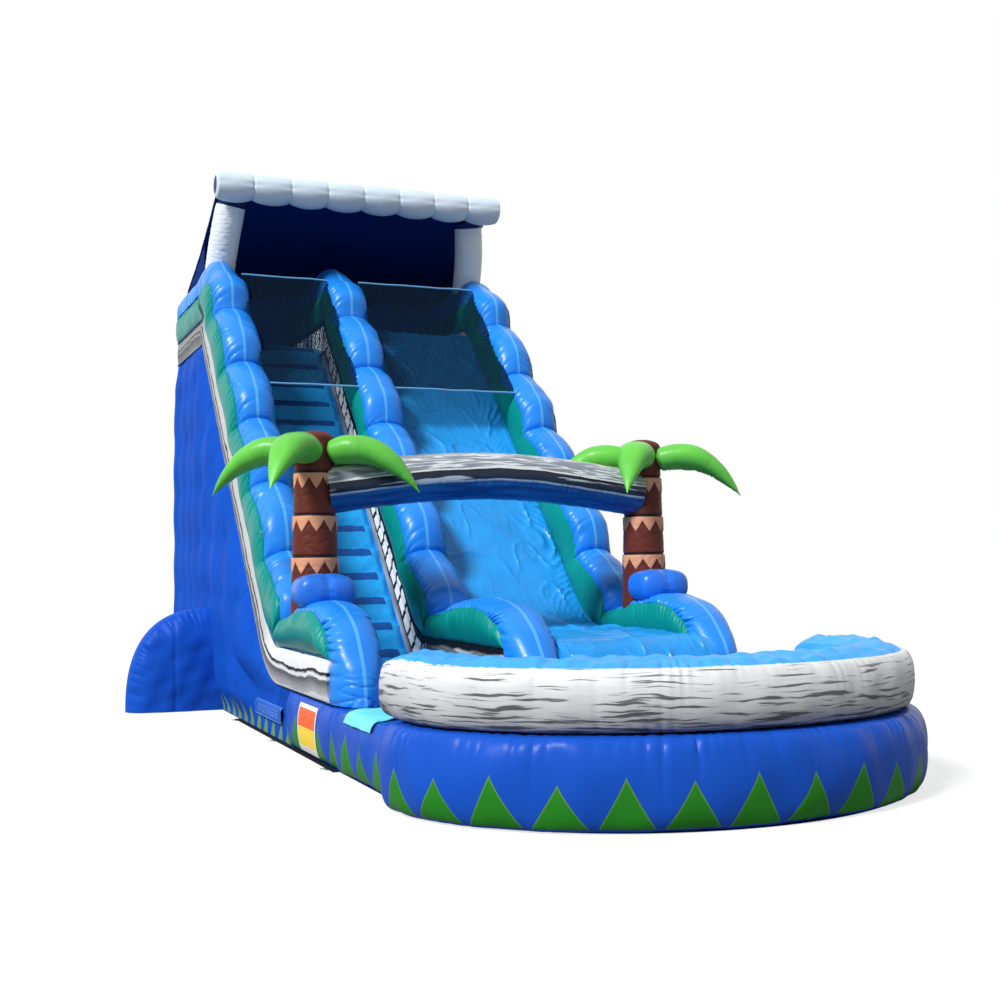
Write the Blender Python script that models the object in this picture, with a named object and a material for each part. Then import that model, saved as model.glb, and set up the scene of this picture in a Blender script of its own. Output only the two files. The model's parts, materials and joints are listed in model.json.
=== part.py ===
"""Inflatable water slide: a tower with a stair lane and a slide lane, and a splash pool in front.

Metres, +Z up. +Y runs from the pool at the front to the tower at the back, and +X to the right
of someone who stands in front of the pool. The stair lane is on the left. Heights are measured
from the ground. A "level" is a distance above a datum line that climbs with the lanes, so one
level drawn along the slope and two heights, for the platform and for the foot, give each edge of
the walls, prints, rails and lanes.
"""
import math

import bpy
import bmesh
from mathutils import Matrix, Vector

for item in list(bpy.data.objects):
    bpy.data.objects.remove(item, do_unlink=True)

# Fits
GAP = 0.0003
CUT_OVERRUN = 0.05
SKIN = 0.03

# Slope of the lanes
SLOPE_ANGLE = math.radians(46.5)
SLOPE_SIN = math.sin(SLOPE_ANGLE)
SLOPE_COS = math.cos(SLOPE_ANGLE)

# Plan of the tower and lanes
HALF_WIDTH = 1.784
RAIL_WIDTH = 0.35
DIVIDER_WIDTH = 0.38
DIVIDER_OFFSET = 0.22
TOWER_BACK = 5.10
BACK_WALL_THICKNESS = 0.35
WALL_FRONT = -1.25
PAD_FRONT = -3.00
DECK_FRONT = 3.15
SHEET_THICKNESS = 0.004

# Heights at the platform
WALL_TOP = 4.18
ROCK_TOP = 4.475
SIDE_TOP = 4.80
CREST_TOP = 5.12
DECK_THICKNESS = 0.40

# Heights at the foot
FOOT_TOP = 0.49
FOOT_ROCK_TOP = 0.83
DIVIDER_ROCK_FOOT = 0.875
RUNOUT_TOP = 0.93

# Levels along the slope
UNDERSIDE_LEVEL = 0.20
WALL_LEVEL = 0.57
STEP_LEVEL = 0.66
ROCK_LEVEL = 0.99
SLIDE_LEVEL = 1.05
DIVIDER_ROCK_LEVEL = 1.15
CREST_LEVEL = 1.41
LOBE_RISE = 0.19
CAP_HEIGHT = 0.14

# Bends where the slope meets the flat
WALL_BEND = 1.0
ROCK_BEND = 0.6
TOP_BEND = 0.12
SLIDE_BEND = 0.8
RUNOUT_BEND = 0.30

# Wavy rails: the first seam from the top, and the pitch of the swellings down the slope
FIRST_SEAM = 4.81
LOBE_PITCH = 0.95
LOBE_COUNT = 5
LOBE_SHARES = ((0.12, 0.38), (0.38, 0.78), (0.68, 1.0), (0.88, 0.66))
DOME_RISE = 0.08
DOME_LENGTH = 0.38
DOME_CREST_SHARES = ((2.2, 0.0), (1.0, 1.0), (0.25, 0.2), (-0.45, -1.7))
DOME_SEAT_SHARES = ((2.2, 0.0), (0.9, 0.0), (0.1, 0.0), (-0.35, 0.2))
TOP_LOBE_SHARES = ((0.5, 0.72), (0.25, 1.0))
HUMP_FRONT = -2.88
DIVIDER_FRONT = -3.15
HUMP_TOP = 1.27
HUMP_CREST_SHARES = ((0.12, 0.80), (0.25, 0.93), (0.40, 0.99), (0.52, 1.0), (0.65, 0.96),
                     (0.78, 0.84), (0.90, 0.62), (0.97, 0.35), (1.0, 0.0))
HUMP_SEAT_SHARES = ((0.11, 0.66), (0.24, 0.79), (0.38, 0.84), (0.50, 0.85), (0.60, 0.83),
                    (0.69, 0.76), (0.75, 0.65), (0.78, 0.50), (0.78, 0.0))
CAP_SIDES = 6
SEAT_REACH = 1.0
SEAT_DEPTH = 0.50

# Steps
STEP_COUNT = 15
STEP_NOSE = 0.05

# Lane nets
NET_LEVEL = 1.45
NET_TOP_RUN = 5.42
NET_FOOT_RUN = 3.44
NET_THICKNESS = 0.008
NET_HEM = 0.035
NET_BAR = 0.014
NET_ROWS = 9
NET_MESH = 0.20

# Slide liner
LINER_THICKNESS = 0.006
LINER_MARGIN = 0.03

# Splash pool
POOL_BEND_START = -3.95
POOL_CENTRE = -4.45
BASE_HEIGHT = 0.57
BASE_OVERHANG = 0.116
BASE_OUTER_X = HALF_WIDTH + BASE_OVERHANG
BASE_OUTER_Y = 1.42
POOL_RIM = 0.364
POOL_INNER_X = HALF_WIDTH - POOL_RIM
POOL_INNER_Y = 1.00
BASE_BULGE = 0.08
SIDE_BULGE = 0.06
RING_TOP = 1.00
RING_OVERHANG = 0.066
RING_OUTER_X = HALF_WIDTH + RING_OVERHANG
RING_OUTER_Y = 1.36
RING_BULGE = 0.05
RING_CROWN = 0.05
RING_NOSE = 0.56
RING_NOSE_SHARES = ((1.0, 0.38), (0.86, 0.72), (0.62, 0.92), (0.3, 1.0))
POOL_FLOOR_THICKNESS = 0.12
ROUND_STEPS = 20
TUBE_SIDE_SHARES = ((-0.5, 0.0), (0.4, 0.14), (0.9, 0.32), (1.0, 0.5), (0.9, 0.68), (0.4, 0.86),
                    (-0.5, 1.0))

# Entry mat over the left side of the pool
MAT_FRONT = -3.78
MAT_BACK = -3.10
MAT_THICKNESS = 0.012
MAT_DROP = 0.10

# Canopy
BOLSTER_Y = 2.60
BOLSTER_HEIGHT = 5.93
BOLSTER_RADIUS = 0.165
BOLSTER_INSET = 0.024
BOLSTER_HALF_LENGTH = HALF_WIDTH - BOLSTER_INSET
BOLSTER_LOBES = 8
BOLSTER_NECK_SHARE = 0.88
POST_RADIUS = 0.175
POST_STEPS = 4
POST_FOOT_Y = 3.28
POST_FOOT_INSET = 0.03
POST_TOP_Y = 2.95
POST_TOP_INSET = 0.12
ROOF_BACK = 4.92
ROOF_INSET = 0.154
ROOF_HALF_WIDTH = HALF_WIDTH - ROOF_INSET
ROOF_THICKNESS = 0.03
ROOF_SAG = 0.10
ROOF_STEPS = 6
CANOPY_NET_THICKNESS = 0.006

# Palms and the arch between them
PALM_Y = -1.35
TRUNK_TOP = 2.66
TRUNK_BOTTOM = 1.06
TRUNK_TOP_RADIUS = 0.175
TRUNK_FOOT_RADIUS = 0.225
CROWN_RISE = 0.07
CROWN_OVERHANG = 0.012
CROWN_TOP_SHARE = 0.7
TRUNK_SIDES = 20
COLLAR_HEIGHTS = (1.63, 1.99, 2.36)
COLLAR_STEP = 0.010
FROND_ROOT_HEIGHT = 2.53
FROND_ROOT_RADIUS = 0.15
FROND_REACH = 0.93
FROND_RISE = 0.08
FROND_DROP = 0.38
FROND_START_SHARE = 0.75
FROND_ARC_SHARE = 0.9
FROND_DROOP_POWER = 2.4
FROND_FLAT_SHARE = 0.72
FROND_AZIMUTHS = {"left": 150, "front": 233, "right": -30, "back": 62}
FROND_STATIONS = 9
FROND_SIDES = 8
FROND_GIRTH_SHARES = (0.62, 0.86, 0.98, 1.0, 0.94, 0.80, 0.60, 0.36, 0.08)
ARCH_RADIUS = 0.19
ARCH_HEIGHT = 2.20
ARCH_RISE = 0.16
ARCH_STATIONS = 12
ARCH_SIDES = 16

# Foot pillow in front of each palm
PILLOW_WIDTH = 0.52
PILLOW_DEPTH = 0.40
PILLOW_HEIGHT = 0.29
PILLOW_FORWARD = 0.29
PILLOW_HEIGHT_AT = 1.34
PILLOW_STEPS = 6
PILLOW_PULL_SHARE = 0.16
PILLOW_CORNER_POWER = 0.7
PILLOW_LAYER_SHARES = ((-1.0, 0.55), (-0.8, 0.88), (-0.35, 1.0), (0.35, 1.0), (0.8, 0.88),
                       (1.0, 0.55))

# Side buttresses
BUTTRESS_REACH = 1.016
BUTTRESS_HEIGHT = 1.12
BUTTRESS_FRONT = 1.96
BUTTRESS_THICKNESS = 0.46
BUTTRESS_ROUND = 0.10
BUTTRESS_STEPS = 8
BUTTRESS_REACH_POWER = 0.7
BUTTRESS_RISE_POWER = 0.8
BUTTRESS_LAYER_SHARES = ((-1.0, 1.0), (-0.78, 0.3), (-0.45, 0.0), (0.45, 0.0), (0.78, 0.3),
                         (1.0, 1.0))

# Plain two-colour patch on the left side of the pool
PATCH_FRONT = -2.26
PATCH_BACK = -1.68
PATCH_THICKNESS = 0.004

# Deflation zip on the left wall
ZIP_BACK = 0.16
ZIP_LENGTH = 1.02
ZIP_HEIGHT = 0.225
ZIP_TAPE_WIDTH = 0.06
ZIP_TAPE_THICKNESS = 0.004
ZIP_TEETH_WIDTH = 0.012
ZIP_TEETH_RISE = 0.004
SLIDER_LENGTH = 0.06
SLIDER_WIDTH = 0.03
SLIDER_RISE = 0.010
SLIDER_FACE_SHARE = 0.6
FLAP_TOP = 0.30
FLAP_FOOT = 0.155
FLAP_MARGIN = 0.02
FLAP_THICKNESS = 0.004
FLAP_STANDOFF = 0.024
FLAP_HEM = 0.012

# Blower sleeve at the back
SLEEVE_X = -0.75
SLEEVE_RADIUS = 0.16
SLEEVE_WALL = 0.008
SLEEVE_LENGTH = 0.60
SLEEVE_CLEAR = 0.02
SLEEVE_COLLAR = 0.05
SLEEVE_FLARE = 0.012
SLEEVE_SIDES = 24

# Water inlet and its stop valve at the back
INLET_X = 0.85
INLET_HEIGHT = 0.95
INLET_PLATE = 0.11
INLET_PLATE_THICKNESS = 0.010
INLET_RADIUS = 0.019
INLET_LENGTH = 0.11
INLET_THREAD_RADIUS = 0.0165
INLET_THREAD_LENGTH = 0.025
INLET_BORE = 0.0095
INLET_STEM_AT = 0.045
STEM_RADIUS = 0.007
STEM_RISE = 0.010
STEM_BOSS_RADIUS = 0.011
LEVER_LENGTH = 0.085
LEVER_WIDTH = 0.020
LEVER_THICKNESS = 0.006
PIN_SIDES = 20

# Anchor tape and rings along both sides
ANCHOR_SPOTS = (0.90, -0.80, -2.60)
BAND_WIDTH = 0.05
BAND_THICKNESS = 0.003
BAND_END = 0.15
LOOP_LENGTH = 0.040
LOOP_DEPTH = 0.018
LOOP_WALL = 0.004
RING_WIRE = 0.004
RING_CLEAR = 0.001
RING_HALF = 0.028
RING_REACH = 0.050
RING_WIRE_SIDES = 6
RING_BOW_STEPS = 6

# Web inside the tower that ties the walls together
WEB_Y = 2.40
WEB_THICKNESS = 0.006

# Worked-out sizes
RAIL_INNER = HALF_WIDTH - RAIL_WIDTH
RAIL_CENTRE = HALF_WIDTH - RAIL_WIDTH / 2
DIVIDER_LEFT = -DIVIDER_OFFSET - DIVIDER_WIDTH / 2
DIVIDER_RIGHT = -DIVIDER_OFFSET + DIVIDER_WIDTH / 2
FLOOR = SHEET_THICKNESS + GAP
POOL_FRONT = POOL_CENTRE - BASE_OUTER_Y - BASE_BULGE
PART_BACK = TOWER_BACK + GAP + SLEEVE_LENGTH
MIDDLE_Y = (POOL_FRONT + PART_BACK) / 2
SIDES = {"left": -1, "right": 1}

COLOURS = {
    "royal": ((0.05, 0.10, 0.62), 0.38, 0.0),
    "cap": ((0.06, 0.30, 0.80), 0.35, 0.0),
    "teal": ((0.02, 0.42, 0.38), 0.38, 0.0),
    "rock": ((0.45, 0.45, 0.46), 0.55, 0.0),
    "lane": ((0.05, 0.38, 0.78), 0.40, 0.0),
    "cyan": ((0.10, 0.55, 0.85), 0.38, 0.0),
    "navy": ((0.01, 0.02, 0.12), 0.55, 0.0),
    "white": ((0.82, 0.84, 0.86), 0.45, 0.0),
    "leaf": ((0.22, 0.68, 0.10), 0.40, 0.0),
    "bark": ((0.22, 0.06, 0.04), 0.55, 0.0),
    "patch": ((0.90, 0.35, 0.05), 0.50, 0.0),
    "net": ((0.02, 0.05, 0.10), 0.80, 0.0),
    "webbing": ((0.02, 0.02, 0.02), 0.85, 0.0),
    "steel": ((0.60, 0.60, 0.62), 0.30, 1.0),
    "plastic": ((0.03, 0.03, 0.03), 0.45, 0.0),
}

frame = bpy.data.objects.new("slide_frame", None)
frame.location = (0, -MIDDLE_Y, 0)
bpy.context.collection.objects.link(frame)


def finish_for(slot):
    """The material of one finish, made the first time that it is asked for."""
    name = slot + "_finish"
    if name in bpy.data.materials:
        return bpy.data.materials[name]
    colour, roughness, metallic = COLOURS[slot]
    material = bpy.data.materials.new(name)
    material.use_nodes = True
    shader = material.node_tree.nodes["Principled BSDF"]
    shader.inputs["Base Color"].default_value = (*colour, 1.0)
    shader.inputs["Roughness"].default_value = roughness
    shader.inputs["Metallic"].default_value = metallic
    return material


def add_piece(name, points, faces, slot, smooth=False, origin=(0, 0, 0)):
    """One object from points and faces, with its faces turned outwards and its own finish."""
    start = Vector(origin)
    mesh = bpy.data.meshes.new(name)
    mesh.from_pydata([tuple(Vector(p) - start) for p in points], [], faces)
    work = bmesh.new()
    work.from_mesh(mesh)
    bmesh.ops.recalc_face_normals(work, faces=work.faces)
    work.to_mesh(mesh)
    work.free()
    if smooth:
        mesh.shade_smooth()
        mesh.set_sharp_from_angle(angle=math.radians(40))
    piece = bpy.data.objects.new(name, mesh)
    piece.location = start
    piece.parent = frame
    bpy.context.collection.objects.link(piece)
    if slot:
        mesh.materials.append(finish_for(slot))
    return piece


def as_cutter(piece):
    """Mark an object as a cutting shape, which isn't part of the slide."""
    piece.hide_render = True
    piece.display_type = "WIRE"
    return piece


def apply_shape(piece, other, operation):
    """A live exact Boolean of one object with another."""
    step = piece.modifiers.new(operation.lower(), "BOOLEAN")
    step.operation = operation
    step.solver = "EXACT"
    step.object = as_cutter(other)
    return piece


def cut(piece, *cutters):
    """Cut one or more shapes out of a piece."""
    for cutter in cutters:
        apply_shape(piece, cutter, "DIFFERENCE")
    return piece


def loft(name, rings, slot, smooth=False, origin=(0, 0, 0)):
    """A skin through rings with equal numbers of points, closed by a face at both ends."""
    count = len(rings[0])
    points = [p for ring in rings for p in ring]
    faces = [tuple(range(count)), tuple(range(len(points) - count, len(points)))]
    for i in range(len(rings) - 1):
        for j in range(count):
            k = (j + 1) % count
            a = i * count
            b = a + count
            faces.append((a + j, a + k, b + k))
            faces.append((a + j, b + k, b + j))
    return add_piece(name, points, faces, slot, smooth, origin)


def prism_x(name, outline, low_x, high_x, slot, smooth=False):
    """An outline in (y, z) carried along X."""
    rings = [[(x, y, z) for y, z in outline] for x in (low_x, high_x)]
    return loft(name, rings, slot, smooth)


def prism_y(name, outline, low_y, high_y, slot, smooth=False):
    """An outline in (x, z) carried along Y."""
    rings = [[(x, y, z) for x, z in outline] for y in (low_y, high_y)]
    return loft(name, rings, slot, smooth)


def prism_z(name, outline, low_z, high_z, slot, smooth=False):
    """An outline in (x, y) carried along Z."""
    rings = [[(x, y, z) for x, y in outline] for z in (low_z, high_z)]
    return loft(name, rings, slot, smooth)


def box(name, low, high, slot):
    """A block between two corners."""
    outline = [(low[0], low[1]), (high[0], low[1]), (high[0], high[1]), (low[0], high[1])]
    return prism_z(name, outline, low[2], high[2], slot)


def turned(name, profile, centre, axis, sides, slot, smooth=True):
    """A closed profile of (radius, height) turned round an axis through a point."""
    turn = Vector((0, 0, 1)).rotation_difference(Vector(axis)).to_matrix()
    points = []
    for radius, height in profile:
        for i in range(sides):
            angle = 2 * math.pi * i / sides
            local = Vector((radius * math.cos(angle), radius * math.sin(angle), height))
            points.append(Vector(centre) + turn @ local)
    rings = [points[i:i + sides] for i in range(0, len(points), sides)]
    return loft(name, rings, slot, smooth)


def line_offset(points, distance):
    """An open line moved sideways by a distance, to the left of its direction."""
    moved = []
    for i, point in enumerate(points):
        here = Vector(point)
        before = (here - Vector(points[i - 1])).normalized() if i else None
        after = (Vector(points[i + 1]) - here).normalized() if i + 1 < len(points) else None
        before = before or after
        after = after or before
        normal_a = Vector((-before.y, before.x))
        normal_b = Vector((-after.y, after.x))
        middle = normal_a + normal_b
        middle.normalize()
        moved.append(tuple(here + middle * (distance / middle.dot(normal_a))))
    return moved


def rounded(points, radii, steps=5):
    """An open line with each inner corner replaced by an arc of its radius."""
    result = [points[0]]
    for i in range(1, len(points) - 1):
        corner = Vector(points[i])
        toward = (Vector(points[i - 1]) - corner).normalized()
        away = (Vector(points[i + 1]) - corner).normalized()
        half = toward.angle(away) / 2
        reach = radii[i - 1] / math.tan(half)
        centre = corner + (toward + away).normalized() * (radii[i - 1] / math.sin(half))
        start = corner + toward * reach - centre
        end = corner + away * reach - centre
        sweep = start.angle_signed(end)
        for k in range(steps + 1):
            turn = -sweep * k / steps
            x = start.x * math.cos(turn) - start.y * math.sin(turn)
            y = start.x * math.sin(turn) + start.y * math.cos(turn)
            result.append((centre.x + x, centre.y + y))
    result.append(points[-1])
    return result


def level_y(level, height):
    """Where an edge at this level above the slope datum reaches a height."""
    return (height * SLOPE_COS - level) / SLOPE_SIN


def slope_point(run, level):
    """The (y, z) of a point given by its distance up the slope and its level."""
    return (run * SLOPE_COS - level * SLOPE_SIN, run * SLOPE_SIN + level * SLOPE_COS)


def edge_line(level, top, foot, front, foot_bend):
    """An edge from the back of the platform, down the slope and forward along the foot."""
    corners = [(TOWER_BACK, top), (level_y(level, top), top), (level_y(level, foot), foot),
               (front, foot)]
    return rounded(corners, (TOP_BEND, foot_bend))


def hollowed(piece, outline, low_x, high_x, floor):
    """Cut the air space out of a prism, open at its foot, with the skin left round it."""
    inner = line_offset(list(outline) + [outline[0]], SKIN)[:-1]
    inner[0] = line_offset([outline[-1], outline[0], outline[1]], SKIN)[1]
    lowered = [(y, floor - CUT_OVERRUN if z < floor + 2 * SKIN else z) for y, z in inner]
    cutter = prism_x(piece.name + "_air", lowered, low_x + SKIN, high_x - SKIN, None)
    return cut(piece, cutter)


def side_bounds(sign):
    """The low and high X of a rail on one side."""
    ends = sorted((sign * HALF_WIDTH, sign * RAIL_INNER))
    return ends[0], ends[1]


def crest_and_seat(hump_front):
    """The crest line of a rail's cap and the line that the cap sits on, back to front."""
    edge = level_y(CREST_LEVEL, CREST_TOP)
    crest = [(TOWER_BACK, CREST_TOP)]
    seat = [(TOWER_BACK, SIDE_TOP)]
    for (along, up), (seat_along, seat_up) in zip(DOME_CREST_SHARES, DOME_SEAT_SHARES):
        crest.append((edge + DOME_LENGTH * along, CREST_TOP + DOME_RISE * up))
        seat.append((edge + DOME_LENGTH * seat_along, SIDE_TOP + DOME_RISE * seat_up))
    for up_run, rise in TOP_LOBE_SHARES:
        run = FIRST_SEAM + LOBE_PITCH * up_run
        level = CREST_LEVEL + LOBE_RISE * rise
        crest.append(slope_point(run, level))
        seat.append(slope_point(run, level - CAP_HEIGHT))
    for lobe in range(LOBE_COUNT):
        seam = FIRST_SEAM - LOBE_PITCH * lobe
        for down, rise in ((0.0, 0.0),) + LOBE_SHARES:
            run = seam - LOBE_PITCH * down
            level = CREST_LEVEL + LOBE_RISE * rise
            crest.append(slope_point(run, level))
            seat.append(slope_point(run, level - CAP_HEIGHT))
    saddle_run = FIRST_SEAM - LOBE_PITCH * LOBE_COUNT
    saddle = slope_point(saddle_run, CREST_LEVEL)
    crest.append(saddle)
    seat.append(slope_point(saddle_run, CREST_LEVEL - CAP_HEIGHT))
    foot = FOOT_TOP + GAP
    for (along, up), (seat_along, seat_up) in zip(HUMP_CREST_SHARES, HUMP_SEAT_SHARES):
        reach = saddle[0] - hump_front
        crest.append((saddle[0] - reach * along, foot + (HUMP_TOP - foot) * up))
        seat.append((saddle[0] - reach * seat_along, foot + (HUMP_TOP - foot) * seat_up))
    return crest, seat


def cap_rings(low_x, high_x, hump_front, lift=0.0):
    """Half-oval rings over the seat line, up to the crest line."""
    crest, seat = crest_and_seat(hump_front)
    centre = (low_x + high_x) / 2
    half = (high_x - low_x) / 2
    rings = []
    for (y0, z0), (y1, z1) in zip(seat, crest):
        ring = []
        for k in range(CAP_SIDES + 1):
            turn = math.pi * k / CAP_SIDES
            rise = math.sin(turn)
            ring.append((centre + half * math.cos(turn), y0 + (y1 - y0) * rise,
                         z0 + (z1 - z0) * rise + lift))
        rings.append(ring)
    return rings


def rail_space(name, sign, near):
    """A cutting shape for what stands on a rail: the cap near there, a gap larger, and deep."""
    low, high = side_bounds(sign)
    rings = []
    for ring in cap_rings(low - GAP, high + GAP, HUMP_FRONT, 2 * GAP):
        if abs(ring[0][1] - near) < SEAT_REACH:
            deep = [(x, y, z - SEAT_DEPTH) for x, y, z in (ring[-1], ring[0])]
            rings.append(ring + deep)
    return loft(name, rings, None)


def make_ground_sheet():
    """The sheet under the whole slide, with a round front under the pool."""
    outline = [(HALF_WIDTH, TOWER_BACK), (HALF_WIDTH, POOL_CENTRE)]
    for i in range(1, ROUND_STEPS):
        turn = math.pi * i / ROUND_STEPS
        outline.append((HALF_WIDTH * math.cos(turn),
                        POOL_CENTRE - BASE_OUTER_Y * math.sin(turn)))
    outline += [(-HALF_WIDTH, POOL_CENTRE), (-HALF_WIDTH, TOWER_BACK)]
    prism_z("ground_sheet", outline, 0, SHEET_THICKNESS, "royal")


def make_side_walls():
    """The tall blue side chambers, stopped under the printed rock band."""
    edge = edge_line(WALL_LEVEL, WALL_TOP, FOOT_TOP, WALL_FRONT, WALL_BEND)
    outline = edge + [(WALL_FRONT, FLOOR), (TOWER_BACK, FLOOR)]
    for side, sign in SIDES.items():
        low, high = side_bounds(sign)
        wall = prism_x("side_wall_" + side, outline, low, high, "royal")
        hollowed(wall, outline, low, high, FLOOR)


def rail_lines(rock_level, rock_foot, hump_front):
    """Front face, top edge of a rock band and the outline of the coloured side above it."""
    seat = crest_and_seat(hump_front)[1]
    front = seat[-1][0] + GAP
    rock = edge_line(rock_level, ROCK_TOP, rock_foot, front, ROCK_BEND)
    low = line_offset(rock, -GAP)
    high = line_offset(seat[:-1], GAP)
    high[-1] = (front, seat[-2][1])
    low[-1] = (front, low[-1][1])
    return front, rock, low + high[::-1]


def make_rails():
    """Rock band, coloured side and blue cap of the outer rails and of the divider."""
    for side, sign in SIDES.items():
        low, high = side_bounds(sign)
        front, rock, colour = rail_lines(ROCK_LEVEL, FOOT_ROCK_TOP, HUMP_FRONT)
        floor = edge_line(WALL_LEVEL, WALL_TOP, FOOT_TOP, front, WALL_BEND)
        prism_x("rail_rock_" + side, line_offset(floor, -GAP) + rock[::-1], low, high, "rock")
        prism_x("rail_side_" + side, colour, low, high, "teal")
        loft("rail_cap_" + side, cap_rings(low, high, HUMP_FRONT), "cap", True)
    front_of_deck = DECK_FRONT - GAP
    front, rock, colour = rail_lines(DIVIDER_ROCK_LEVEL, DIVIDER_ROCK_FOOT, DIVIDER_FRONT)
    back = TOWER_BACK - BACK_WALL_THICKNESS - GAP
    rock[0] = (back, rock[0][1])
    colour[0] = (back, colour[0][1])
    colour[-1] = (back, colour[-1][1])
    foot = [(front, FOOT_TOP), (PAD_FRONT, FOOT_TOP), (PAD_FRONT, FLOOR),
            (level_y(UNDERSIDE_LEVEL, FLOOR), FLOOR),
            (front_of_deck, slope_height(UNDERSIDE_LEVEL, front_of_deck)),
            (front_of_deck, WALL_TOP + GAP), (back, WALL_TOP + GAP)]
    core = prism_x("divider_rock", rock + foot, DIVIDER_LEFT, DIVIDER_RIGHT, "rock")
    hollowed(core, rock + foot, DIVIDER_LEFT, DIVIDER_RIGHT, FLOOR)
    prism_x("divider_side", colour, DIVIDER_LEFT, DIVIDER_RIGHT, "teal")
    rings = cap_rings(DIVIDER_LEFT, DIVIDER_RIGHT, DIVIDER_FRONT)
    rings[0] = [(x, back, z) for x, y, z in rings[0]]
    loft("divider_cap", rings, "cap", True)


def slope_height(level, y):
    """The height of a level line at a place along Y."""
    return (level + y * SLOPE_SIN) / SLOPE_COS


def make_stairs():
    """The stair lane: soft steps down to a landing at the level of the pool's side."""
    rise = (WALL_TOP - FOOT_TOP) / STEP_COUNT
    top = [(DECK_FRONT - GAP, WALL_TOP)]
    for step in range(STEP_COUNT, 0, -1):
        height = FOOT_TOP + rise * step
        nose = level_y(STEP_LEVEL, height)
        inner = level_y(STEP_LEVEL, height - rise) + STEP_NOSE
        top.append((nose, height))
        top.append((inner, height - rise))
    outline = top + [(PAD_FRONT, FOOT_TOP), (PAD_FRONT, FLOOR),
                     (level_y(UNDERSIDE_LEVEL, FLOOR), FLOOR),
                     (DECK_FRONT - GAP, slope_height(UNDERSIDE_LEVEL, DECK_FRONT - GAP))]
    low = -RAIL_INNER + GAP
    high = DIVIDER_LEFT - GAP
    hollowed(prism_x("stair_bed", outline, low, high, "lane"), outline, low, high, FLOOR)


def slide_surface():
    """The sliding surface from the deck over the lip, down the slope and to the pool."""
    lip = WALL_TOP + RAIL_WIDTH / 2
    corners = [(DECK_FRONT - GAP, WALL_TOP), (DECK_FRONT - RAIL_WIDTH / 2, lip),
               (level_y(SLIDE_LEVEL, lip), lip), (level_y(SLIDE_LEVEL, RUNOUT_TOP), RUNOUT_TOP),
               (PAD_FRONT, RUNOUT_TOP), (PAD_FRONT, FOOT_TOP)]
    return rounded(corners, (TOP_BEND / 2, TOP_BEND, SLIDE_BEND, RUNOUT_BEND))


def make_slide():
    """The slide lane's bed and the loose liner that lies on it."""
    top = slide_surface()
    outline = top + [(PAD_FRONT, FLOOR), (level_y(UNDERSIDE_LEVEL, FLOOR), FLOOR),
                     (DECK_FRONT - GAP, slope_height(UNDERSIDE_LEVEL, DECK_FRONT - GAP))]
    low = DIVIDER_RIGHT + GAP
    high = RAIL_INNER - GAP
    hollowed(prism_x("slide_bed", outline, low, high, "lane"), outline, low, high, FLOOR)
    under = line_offset(top[1:], -GAP)
    over = line_offset(top[1:], -GAP - LINER_THICKNESS)
    prism_x("slide_liner", under + over[::-1], low + LINER_MARGIN, high - LINER_MARGIN, "lane")


def make_platform():
    """The deck that people stand on, the wall behind it and the tying web inside."""
    inner = RAIL_INNER - GAP
    back = TOWER_BACK - BACK_WALL_THICKNESS
    box("platform_deck", (-inner, DECK_FRONT, WALL_TOP - DECK_THICKNESS),
        (inner, back - GAP, WALL_TOP), "lane")
    wall = box("back_wall", (-inner, back, FLOOR), (inner, TOWER_BACK, CREST_TOP), "royal")
    air = box("back_wall_air", (-inner + SKIN, back + SKIN, FLOOR - CUT_OVERRUN),
              (inner - SKIN, TOWER_BACK - SKIN, CREST_TOP - SKIN), None)
    cut(wall, air)
    web_top = slope_height(UNDERSIDE_LEVEL, WEB_Y) - GAP
    box("tower_web", (-inner, WEB_Y, FLOOR), (inner, WEB_Y + WEB_THICKNESS, web_top), "webbing")


def net_panel(name, low_x, high_x, columns):
    """A flat net with a hem, on the slope: bars between square gaps, as one solid."""
    def marks(length, count):
        gap = (length - 2 * NET_HEM - (count - 1) * NET_BAR) / count
        values = [0.0, NET_HEM]
        for _ in range(count - 1):
            values += [values[-1] + gap, values[-1] + gap + NET_BAR]
        return values + [length - NET_HEM, length]

    across = marks(high_x - low_x, columns)
    along = marks(NET_TOP_RUN - NET_FOOT_RUN, NET_ROWS)
    points = []
    for level in (NET_LEVEL, NET_LEVEL + NET_THICKNESS):
        for v in along:
            y, z = slope_point(NET_FOOT_RUN + v, level)
            points += [(low_x + u, y, z) for u in across]
    wide = len(across)
    layer = wide * len(along)

    def is_solid(i, j):
        inside = 0 <= i < wide - 1 and 0 <= j < len(along) - 1
        return inside and not (i % 2 == 1 and j % 2 == 1)

    faces = []
    for j in range(-1, len(along)):
        for i in range(-1, wide):
            here = is_solid(i, j)
            a = j * wide + i
            if here:
                faces.append((a, a + 1, a + 1 + wide, a + wide))
                faces.append(tuple(layer + k for k in (a, a + wide, a + 1 + wide, a + 1)))
            if here != is_solid(i + 1, j) and 0 <= j:
                faces.append((a + 1, a + 1 + wide, a + 1 + wide + layer, a + 1 + layer))
            if here != is_solid(i, j + 1) and 0 <= i:
                b = a + wide
                faces.append((b, b + 1, b + 1 + layer, b + layer))
    faces = [face for face in faces if min(face) >= 0]
    add_piece(name, points, faces, "net")


def make_lane_nets():
    """The nets over the top of both lanes, between the rails."""
    spans = {"stair_net": (-RAIL_INNER + GAP, DIVIDER_LEFT - GAP),
             "slide_net": (DIVIDER_RIGHT + GAP, RAIL_INNER - GAP)}
    for name, (low, high) in spans.items():
        columns = max(1, round((high - low) / NET_MESH))
        net_panel(name, low, high, columns)


def tube_section(width, low, high, bulge):
    """(outward, height) points of a tube that is flat inside and swells outside."""
    outside = [(width + bulge * out, low + (high - low) * up) for out, up in TUBE_SIDE_SHARES]
    return [(0.0, low)] + outside + [(0.0, high)]


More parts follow.
